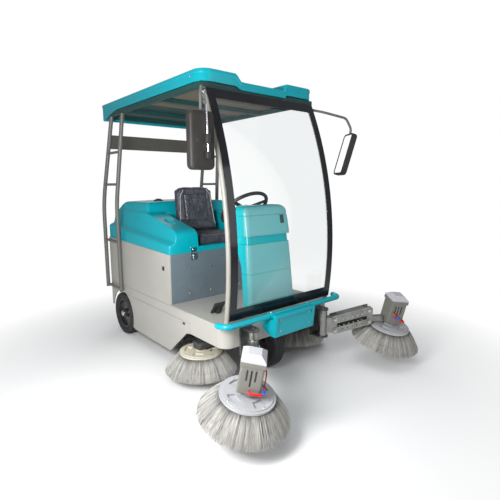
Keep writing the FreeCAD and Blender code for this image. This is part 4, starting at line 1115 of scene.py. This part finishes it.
def alongHood(levels, x):
    # a height that runs evenly from the hood's front to its rear
    return levels[0] + (levels[1] - levels[0]) * (hood["front"] - x) / (hood["front"] - hood["rear"])


def hoodHeight(x, y, depth):
    # ledges at both sides, arms that rise from them and end in a rolled nose, the block behind, each
    # the softened larger of its planes, and then the seat's well and the cups taken out
    away = np.abs(y)
    fall = np.clip((away - hood["armHalf"]) / (hood["half"] - hood["armHalf"]), 0, 1)
    ledge = alongHood(hood["ledge"], x) - hood["ledgeFall"] * fall
    climb = np.clip((hood["climbFrom"] - x) / (hood["climbFrom"] - hood["blockFront"]), 0, 1)
    arm = np.interp(climb, (0, 1), hood["arm"]) - roundOff(hood["front"] - x, hood["nose"])
    side = ledge + (hood["armHalf"] - away) * hood["armSlope"]
    body = larger(ledge, smaller(arm, side, hood["armEdge"]), hood["ledgeBlend"])
    top = hood["blockTop"] - roundOff(x - hood["rear"], hood["dome"]) - hood["crown"] * away ** 2
    face = hood["blockFoot"] + (hood["blockFront"] - x) * hood["blockLean"]
    flank = ledge + (hood["armHalf"] - away) * hood["blockSide"]
    box = smaller(smaller(top, face, hood["blockEdge"]), flank, hood["blockEdge"])
    body = larger(body, box, hood["blockBlend"])
    cup = hood["cup"]
    ring = np.hypot((x - cup["x"]) / cup["long"], (away - cup["y"]) / cup["wide"])
    body -= cup["deep"] * eased((1 - ring) / cup["ease"])
    wall = np.maximum(np.maximum(away - hood["wellHalf"], hood["wellBack"] - x), 0)
    body -= roundOff(wall, hood["wellEdge"])
    body = np.minimum(body, hood["wellFloor"] + wall * hood["wellSteep"])
    return body - roundOff(depth, hood["edge"])


def hoodFoot(x, y):
    return alongHood(hood["seam"], x)


hoodX = gridLines((-0.950, -0.940, 0.001), (-0.940, -0.400, 0.012), (-0.400, -0.341, 0.005),
                  (-0.341, -0.329, 0.001), (-0.329, -0.180, 0.012), (-0.180, -0.030, 0.005),
                  (-0.030, 0.084, 0.012), (0.084, 0.132, 0.005), (0.132, 0.148, 0.001))
hoodY = bothSides(gridLines((0.0, 0.246, 0.041), (0.246, 0.262, 0.001), (0.262, 0.318, 0.008),
                            (0.318, 0.382, 0.004), (0.382, 0.400, 0.009), (0.400, 0.493, 0.004),
                            (0.493, 0.503, 0.001)))
shells["hood"] = mouldedShell("hood_shell", hood, hoodX, hoodY, hoodHeight, hoodFoot,
                              ((0, 0.3, 0), (0, 0.7, 0), (0, 1, 0)))
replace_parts(piece("hood_shell", shells["hood"], finishes["teal_shell"], "hood"), "hood")

hinge = {"y": (-0.330, 0.330), "bore": 0.0052, "outer": 0.008, "half": 0.020, "leaf": (0.0045, 0.020, 0.017),
         "leafAt": (0.0045, 0, 0.022)}
hingeAt = joints["hood_open"]["pos_m"]
eyes = [np.array([hingeAt[0], y - middle[1], hingeAt[2]]) for y in hinge["y"]]
knuckle = [(hinge["bore"], -hinge["half"]), (hinge["outer"], -hinge["half"]),
           (hinge["outer"], hinge["half"]), (hinge["bore"], hinge["half"])]
ringPiece("hood_knuckles", [lathe(knuckle, 24, eye, (0, 1, 0)) for eye in eyes], black, "hood",
          smooth=False)
leaves = [softBlock(hinge["leaf"], 0.001, np.eye(3), eye + hinge["leafAt"]) for eye in eyes]
solidPiece("hood_leaves", leaves, black, "hood")
print("hood")


canopy = {"front": 0.612, "rear": -0.944, "top": 2.030, "low": 1.954, "corner": (0.017, 0.085), "edge": 0.009,
          "wall": 0.008, "scoop": (-0.246, 0.222), "slant": (0.062, 0.018), "drop": 0.046, "run": 0.330,
          "lip": 0.020, "skirtFrom": -0.655, "skirtFall": 0.058}


def scooped(x, y):
    # 0 to 1: how far the front edge is scooped out between its two raised ends
    ramp = np.clip((x - canopy["front"] + canopy["run"]) / canopy["run"], 0, 1)
    right = eased((y - canopy["scoop"][0]) / canopy["slant"][0])
    return ramp * right * eased((canopy["scoop"][1] - y) / canopy["slant"][1])


def canopyHeight(x, y, depth):
    # a flat top with a rounded border, less the scoop
    return canopy["top"] - roundOff(depth, canopy["edge"]) - canopy["drop"] * scooped(x, y)


def canopyFoot(x, y):
    # the skirt is deeper at the front's scoop and falls towards the rear
    fall = np.clip((canopy["skirtFrom"] - x) / (canopy["skirtFrom"] - canopy["rear"]), 0, 1)
    return canopy["low"] - canopy["lip"] * scooped(x, y) - canopy["skirtFall"] * fall


canopyX = gridLines((-0.944, -0.934, 0.0012), (-0.934, -0.850, 0.012), (-0.850, 0.260, 0.030),
                    (0.260, 0.520, 0.020), (0.520, 0.602, 0.010), (0.602, 0.612, 0.0012))
canopyY = gridLines((-0.512, -0.502, 0.0012), (-0.502, -0.420, 0.012), (-0.420, -0.250, 0.024),
                    (-0.250, -0.180, 0.005), (-0.180, 0.200, 0.024), (0.200, 0.226, 0.002),
                    (0.226, 0.420, 0.024), (0.420, 0.502, 0.012), (0.502, 0.512, 0.0012))
shells["roof"] = mouldedShell("canopy_shell", canopy, canopyX, canopyY, canopyHeight, canopyFoot,
                              ((0, 0, 0.013), (0.004, 0, 0.017), (0.004, 0.5, 0.0), (0.004, 1, 0)))
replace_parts(piece("canopy_shell", shells["roof"], finishes["teal_shell"], "root"), "roof")
print("canopy")


# Console: rounded plans stacked from the foot to the top

dash = {"foot": 0.4603, "top": 1.190, "half": (0.224, 0.192), "corner": 0.034, "crown": 0.044, "lip": 0.985,
        "under": 0.930, "underDeep": 0.006, "grow": 0.009, "lipRound": 0.006, "groove": (1.121, 1.127),
        "line": (0.727, 0.732), "cut": 0.0035, "step": 0.0008, "noseFall": 0.040, "flat": 0.985,
        "footBlock": {"half": (0.022, 0.045, 0.035), "edge": 0.008, "place": (0.706, 0.200, 0.4955)},
        "slot": {"half": (0.030, 0.018, 0.0012), "edge": 0.0006, "place": (0.9, 0.128, 1.090),
                 "lift": 0.0008}}
dashFront = ((0.4603, 0.712), (0.600, 0.704), (0.780, 0.689), (0.980, 0.668), (1.080, 0.652), (1.150, 0.636),
             (1.190, 0.628))
dashRear = ((0.4603, 0.632), (0.620, 0.608), (0.780, 0.585), (0.860, 0.545), (0.900, 0.520), (0.945, 0.475),
            (0.985, 0.434), (1.005, 0.420), (1.060, 0.426), (1.105, 0.434), (1.190, 0.520))


def consoleGrid():
    # the front and rear edges are read off their outlines; the width narrows evenly and its top
    # corners are quarter circles; each level is drawn in at the undercut, the groove and the thin line
    top, crown, step, lip, lipRound = (dash[key] for key in ("top", "crown", "step", "lip", "lipRound"))
    arc = top - crown * (1 - np.sin(np.linspace(0, pi / 2, 12)))
    steps = [edge + shift for edge in (*dash["groove"], *dash["line"], dash["under"], lip)
             for shift in (-step, step)]
    levels = np.unique(np.concatenate([np.linspace(dash["foot"], top - crown, 40), arc, steps]))
    drawn = np.zeros(len(levels))
    for low, high, deep in ((*dash["groove"], dash["cut"]), (*dash["line"], dash["cut"]),
                            (dash["under"], lip, dash["underDeep"])):
        drawn += deep * ((levels > low) & (levels < high))
    drawn -= dash["grow"] * (levels > lip) * (1 - roundOff(levels - lip, lipRound) / lipRound * 0.5)
    curve = np.clip((levels - (top - crown)) / crown, 0, 1)
    fall = crown * (1 - np.sqrt(np.maximum(1 - curve ** 2, 0)))
    front = np.interp(levels, *np.array(dashFront).T) - drawn - np.minimum(fall, dash["noseFall"])
    rear = np.interp(levels, *np.array(dashRear).T) + drawn * 0.3
    half = np.interp(levels, (dash["foot"], top), dash["half"])
    half = half - drawn - np.minimum(fall, crown * dash["flat"])
    rings = []
    for low, high, wide, level, into in zip(rear, front, half, levels, fall):
        radius = min(dash["corner"] - into * 0.4, (high - low) / 2 - 0.002)
        ring = roundRect((high - low) / 2, wide, max(radius, 0.006), 8)
        rings.append(np.column_stack([ring[:, 0] + (low + high) / 2, ring[:, 1], np.full(len(ring), level)]))
    return np.stack(rings) - middle


shells["console"] = meshFrom("console_shell", *stacked([consoleGrid()]))
shells["console"].set_sharp_from_angle(angle=radians(40))
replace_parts(piece("console_shell", shells["console"], consoleShell, "root"), "console")
footBlock, slot = dash["footBlock"], dash["slot"]
footGrid = softBlock(footBlock["half"], footBlock["edge"], np.eye(3), at(*footBlock["place"]))
solidPiece("console_foot", [footGrid], finishes["teal_shell"], "root")
slotFace, slotOut = surface("console", at(*slot["place"]), (-1, 0, 0))
slotGrid = softBlock(slot["half"], slot["edge"], axes(slotOut), slotFace + slotOut * slot["lift"])
solidPiece("console_slot", [slotGrid], beamPaint, "root")
print("console")


# Small fittings of the body, hood, console and canopy

toFront = axes((1, 0, 0))
boltRows = {
    "panel_bolts": {"node": "front_panel", "out": (1, 0, 0), "size": (0.006, 0.005), "finish": boltZinc,
                    "spots": [(0.249, s * y, z) for s in (-1, 1) for y, z in
                              ((0.332, 0.713), (0.140, 0.715), (0.338, 0.521), (0.144, 0.520))]},
    "box_screws": {"node": "bumper_box", "out": (1, 0, 0), "size": (0.0048, 0.004), "finish": boltZinc,
                   "spots": [(1.1, y, z) for y in (-0.139, 0.139) for z in (0.387, 0.463)]},
    "clip_bolts": {"node": "bumper_box", "out": (0, 0, 1), "size": (0.0065, 0.005), "finish": boltZinc,
                   "spots": [(0.868, y, 0.6) for y in (-0.174, 0.174)], "sides": 6},
    "fascia_bolts": {"node": "roof", "out": [(0, s, 0) for s in (-1, -1, 1, 1)], "size": (0.0055, 0.004),
                     "spots": [(x, s * 0.8, 1.996) for s in (-1, 1) for x in (0.485, -0.326)],
                     "finish": chrome},
}
for name, row in boltRows.items():
    # each stands where the line from its spot, against its outward way, meets the node
    outs = np.broadcast_to(np.array(row["out"], float), (len(row["spots"]), 3))
    feet = [surface(row["node"], at(*spot), -out)[0] for spot, out in zip(row["spots"], outs)]
    bolts(name, feet, outs, *row["size"], row["finish"], "root", "zinc_channel", row.get("sides", 14))

latch = {
    "latch_lever": {"node": "front_panel", "level": 0.80, "plate": (0.025, 0.031, 0.0015), "body": "root",
                    "grip": (0.020, 0.011, 0.004), "gripAt": (0.0070, 0, -0.002), "finish": boltZinc},
    "latch_catch": {"node": "hood", "level": 0.852, "plate": (0.016, 0.026, 0.0015), "body": "hood",
                    "grip": (0.005, 0.014, 0.0045), "gripAt": (0.0055, 0, 0.002), "finish": chrome},
}
for name, half in latch.items():
    face = surface(half["node"], at(0.249, -0.294, half["level"]), (-1, 0, 0))[0]
    grids = [softBlock(half["plate"], 0.0007, toFront, face + (0.0015, 0, 0)),
             softBlock(half["grip"], 0.0020, toFront, face + half["gripAt"])]
    solidPiece(name, grids, half["finish"], half["body"])

stop = {"place": (0.057, 0.720), "half": (0.015, 0.015, 0.0012), "edge": 0.0006, "lift": 0.0010}
# a flat black oval on each side panel where a jacking hole is: painted shade inside the hole
hole = {"place": (0.326, 0.366), "half": (0.009, 0.017), "corner": 0.0088,
        "profile": ((0, -0.0002), (0, 0.0006))}
plugs, holeShades = [], []
for side, s in sides.items():
    toSide = axes((0, s, 0))
    plugAt, holeShadeAt = (surface("body_side_" + side, at(x, s * 0.7, z), (0, -s, 0))[0]
                      for x, z in (stop["place"], hole["place"]))
    plugs.append(softBlock(stop["half"], stop["edge"], toSide, plugAt + (0, s * stop["lift"], 0)))
    holeShades.append(block(*hole["half"], hole["corner"], hole["profile"], toSide, holeShadeAt, 6))
solidPiece("side_stops", plugs, black)
solidPiece("jacking_holes", holeShades, black)

filler = {"place": (-0.56, -0.196),
          "cap": ((0.041, -0.002), (0.041, 0.006), (0.037, 0.010), (0.030, 0.011), (0.012, 0.0115)),
          "grip": (0.026, 0.005, 0.004), "gripEdge": 0.0015, "gripUp": 0.0145, "turn": 25}
capFoot = surface("hood", at(*filler["place"], 1.5), (0, 0, -1))[0]
solidPiece("filler_cap", [lathe(filler["cap"], 48, capFoot)], black, "hood", smooth=True)
gripAt = capFoot + (0, 0, filler["gripUp"])
grip = softBlock(filler["grip"], filler["gripEdge"], turned(filler["turn"]), gripAt)
solidPiece("filler_grip", [grip], black, "hood")

liningAndShade = {"half": 0.4655, "split": at(-0.27, 0, 0)[0], "gap": 0.004, "thick": 0.0015, "edge": 0.0008,
          "clear": 0.0003}
low, high = (np.array(corner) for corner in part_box("roof_frame"))
# the rear sheet is dark teal, a painted shade under the rear of the canopy; the front one is a tan lining board
for name, start, end, finish in (("rear", low[0], liningAndShade["split"], beamPaint),
                                 ("front", liningAndShade["split"], high[0], liningBoard)):
    half = ((end - start) / 2 - liningAndShade["gap"], liningAndShade["half"], liningAndShade["thick"])
    centre = ((start + end) / 2, (low[1] + high[1]) / 2, high[2] + liningAndShade["thick"] + liningAndShade["clear"])
    solidPiece("roof_lining_" + name, [softBlock(half, liningAndShade["edge"], np.eye(3), centre)], finish, "root")

stalk = {"route": ((0.440, -0.052, 1.108), (0.470, -0.100, 1.128), (0.500, -0.150, 1.148),
                   (0.520, -0.184, 1.160)),
         "wire": (0.0045, 0.0055), "steps": 16, "along": (0.5, -0.83, 0.28),
         "knob": ((0.006, -0.004), (0.012, 0.000), (0.0135, 0.012), (0.012, 0.024), (0.006, 0.028))}
route = [at(*spot) for spot in stalk["route"]]
stalkGrid = tubeGrid(smoothPath(route, stalk["steps"]), np.linspace(*stalk["wire"], stalk["steps"]))
solidPiece("signal_stalk", [stalkGrid], black, smooth=True)
solidPiece("signal_knob", [lathe(stalk["knob"], 20, route[-1], stalk["along"])], black, smooth=True)

hornProfile = ((0.024, -0.001), (0.024, 0.003), (0.021, 0.006), (0.012, 0.0078), (0.004, 0.0084))
wheelSpin = joints["steering_wheel_turn"]
wheelUp = np.array(wheelSpin["axis"])
wheelTop = surface("steering_wheel", np.array(wheelSpin["pos_m"]) + wheelUp * 0.2, -wheelUp)[0]
solidPiece("horn_button", [lathe(hornProfile, 36, wheelTop, wheelUp)], finishes["black_border"],
           "steering_wheel", smooth=True)

gauge = {"place": (0.2, 0.115, 1.155), "bezel": (0.046, 0.024, 0.003), "bezelUp": 0.002,
         "pane": (0.040, 0.018, 0.0006), "paneUp": 0.0054}
keyRow = {"count": 5, "place": (0.2, -0.170, 1.150), "apart": 0.026, "half": (0.009, 0.012, 0.0035),
          "edge": 0.0012, "up": 0.003}
panel, out = surface("console", at(*gauge["place"]), (1, 0, 0))
toDriver = np.stack([(0, 1.0, 0), np.cross(out, (0, 1.0, 0)), out], 1)
bezel = softBlock(gauge["bezel"], gauge["bezel"][2] / 2, toDriver, panel + out * gauge["bezelUp"])
solidPiece("gauge_bezel", [bezel], black)
pane = softBlock(gauge["pane"], gauge["pane"][2] / 2, toDriver, panel + out * gauge["paneUp"])
solidPiece("gauge_pane", [pane], displayPane, "root")
keys = []
for k in range(keyRow["count"]):
    x, y, z = keyRow["place"]
    foot = surface("console", at(x, y + keyRow["apart"] * k, z), (1, 0, 0))[0]
    keys.append(softBlock(keyRow["half"], keyRow["edge"], toDriver, foot + out * keyRow["up"]))
solidPiece("console_keys", keys, keyGrey)
print("fittings")


# Stage: pale floor, soft lights and the photograph's camera

view = {"place": (2.498, -1.992, 1.331), "yaw": 140.274, "pitch": -8.856, "roll": -0.407,
        "focal": 408.615, "centre": (243.48, 248.612), "size": 500, "sensor": 36.0}
cameraData = bpy.data.cameras.new("camera")
cameraData.sensor_width = view["sensor"]
cameraData.lens = view["sensor"] * view["focal"] / view["size"]
cameraData.shift_x = (view["size"] / 2 - view["centre"][0]) / view["size"]
cameraData.shift_y = (view["centre"][1] - view["size"] / 2) / view["size"]
camera = added("camera", cameraData)
camera.matrix_world = (Matrix.Translation(view["place"])
                       @ Matrix.Rotation(radians(view["yaw"] - 90), 4, "Z")
                       @ Matrix.Rotation(radians(90 + view["pitch"]), 4, "X")
                       @ Matrix.Rotation(radians(view["roll"]), 4, "Z"))
bpy.context.scene.camera = camera

lamps = {
    "key": {"place": (1.15, -1.95, 1.35), "aim": (0.35, -0.4, 0.7), "size": 0.8, "watts": 60},
    "front": {"place": (3.8, 0.9, 1.8), "aim": (0.2, 0, 0.9), "size": 2.4, "watts": 24},
    "top": {"place": (-0.3, 0.2, 5.0), "aim": (-0.2, 0, 0.6), "size": 3.2, "watts": 58},
    "rear": {"place": (-3.4, 1.8, 2.8), "aim": (-0.4, 0, 0.9), "size": 2.4, "watts": 16},
}
for name, lamp in lamps.items():
    data = bpy.data.lights.new(name, "AREA")
    data.energy = lamp["watts"]
    data.size = lamp["size"]
    obj = added(name, data)
    obj.location = lamp["place"]
    aim = Vector(lamp["aim"]) - Vector(lamp["place"])
    obj.rotation_euler = aim.to_track_quat("-Z", "Y").to_euler()


def studioWorld():
    # the camera, and rays that passed through glass, see white; the rest is lit by a soft cool grey
    f = Finish("studio", bpy.data.worlds.new("studio"))
    rays = [f.node("ShaderNodeLightPath", output=ray) for ray in ("Is Camera Ray", "Is Transmission Ray")]
    light = f.node("ShaderNodeBackground", {}, {"Color": (0.93, 0.96, 1.0), "Strength": 0.31})
    white = f.node("ShaderNodeBackground", {}, {"Color": (1, 1, 1), "Strength": 1.0})
    shader = f.node("ShaderNodeMixShader", {}, {0: rays[0].maths("MAXIMUM", *rays), 1: light, 2: white})
    return f.closed(shader, "ShaderNodeOutputWorld")


ground = {"half": 14, "points": 9, "level": -0.0005, "fade": (1.2, 2.4)}


def floorFinish():
    # near the machine a plain pale floor that takes its shadow, fading out to white
    f = Finish("floorPale")
    where = f.node("ShaderNodeTexCoord", output="Object")
    away = f.node("ShaderNodeVectorMath", {"operation": "LENGTH"}, {0: where}, "Value")
    fade = f.spread(away, *ground["fade"]) * f.node("ShaderNodeLightPath", output="Is Camera Ray")
    lit = f.node("ShaderNodeBsdfDiffuse", {}, {"Color": (0.90, 0.90, 0.90)})
    white = f.node("ShaderNodeEmission", {}, {"Color": (1, 1, 1), "Strength": 1.0})
    return f.closed(f.node("ShaderNodeMixShader", {}, {0: fade, 1: lit, 2: white}))


bpy.context.scene.world = studioWorld()
ticks = np.linspace(-ground["half"], ground["half"], ground["points"])
floorGrid = np.stack(np.meshgrid(ticks, ticks, ground["level"]), -1)
floor = added("floor", meshFrom("floor", floorGrid.reshape(-1, 3), gridFaces(len(ticks), len(ticks))))
floor.data.materials.append(floorFinish())
bpy.context.scene.view_settings.view_transform = "Standard"
print("stage")
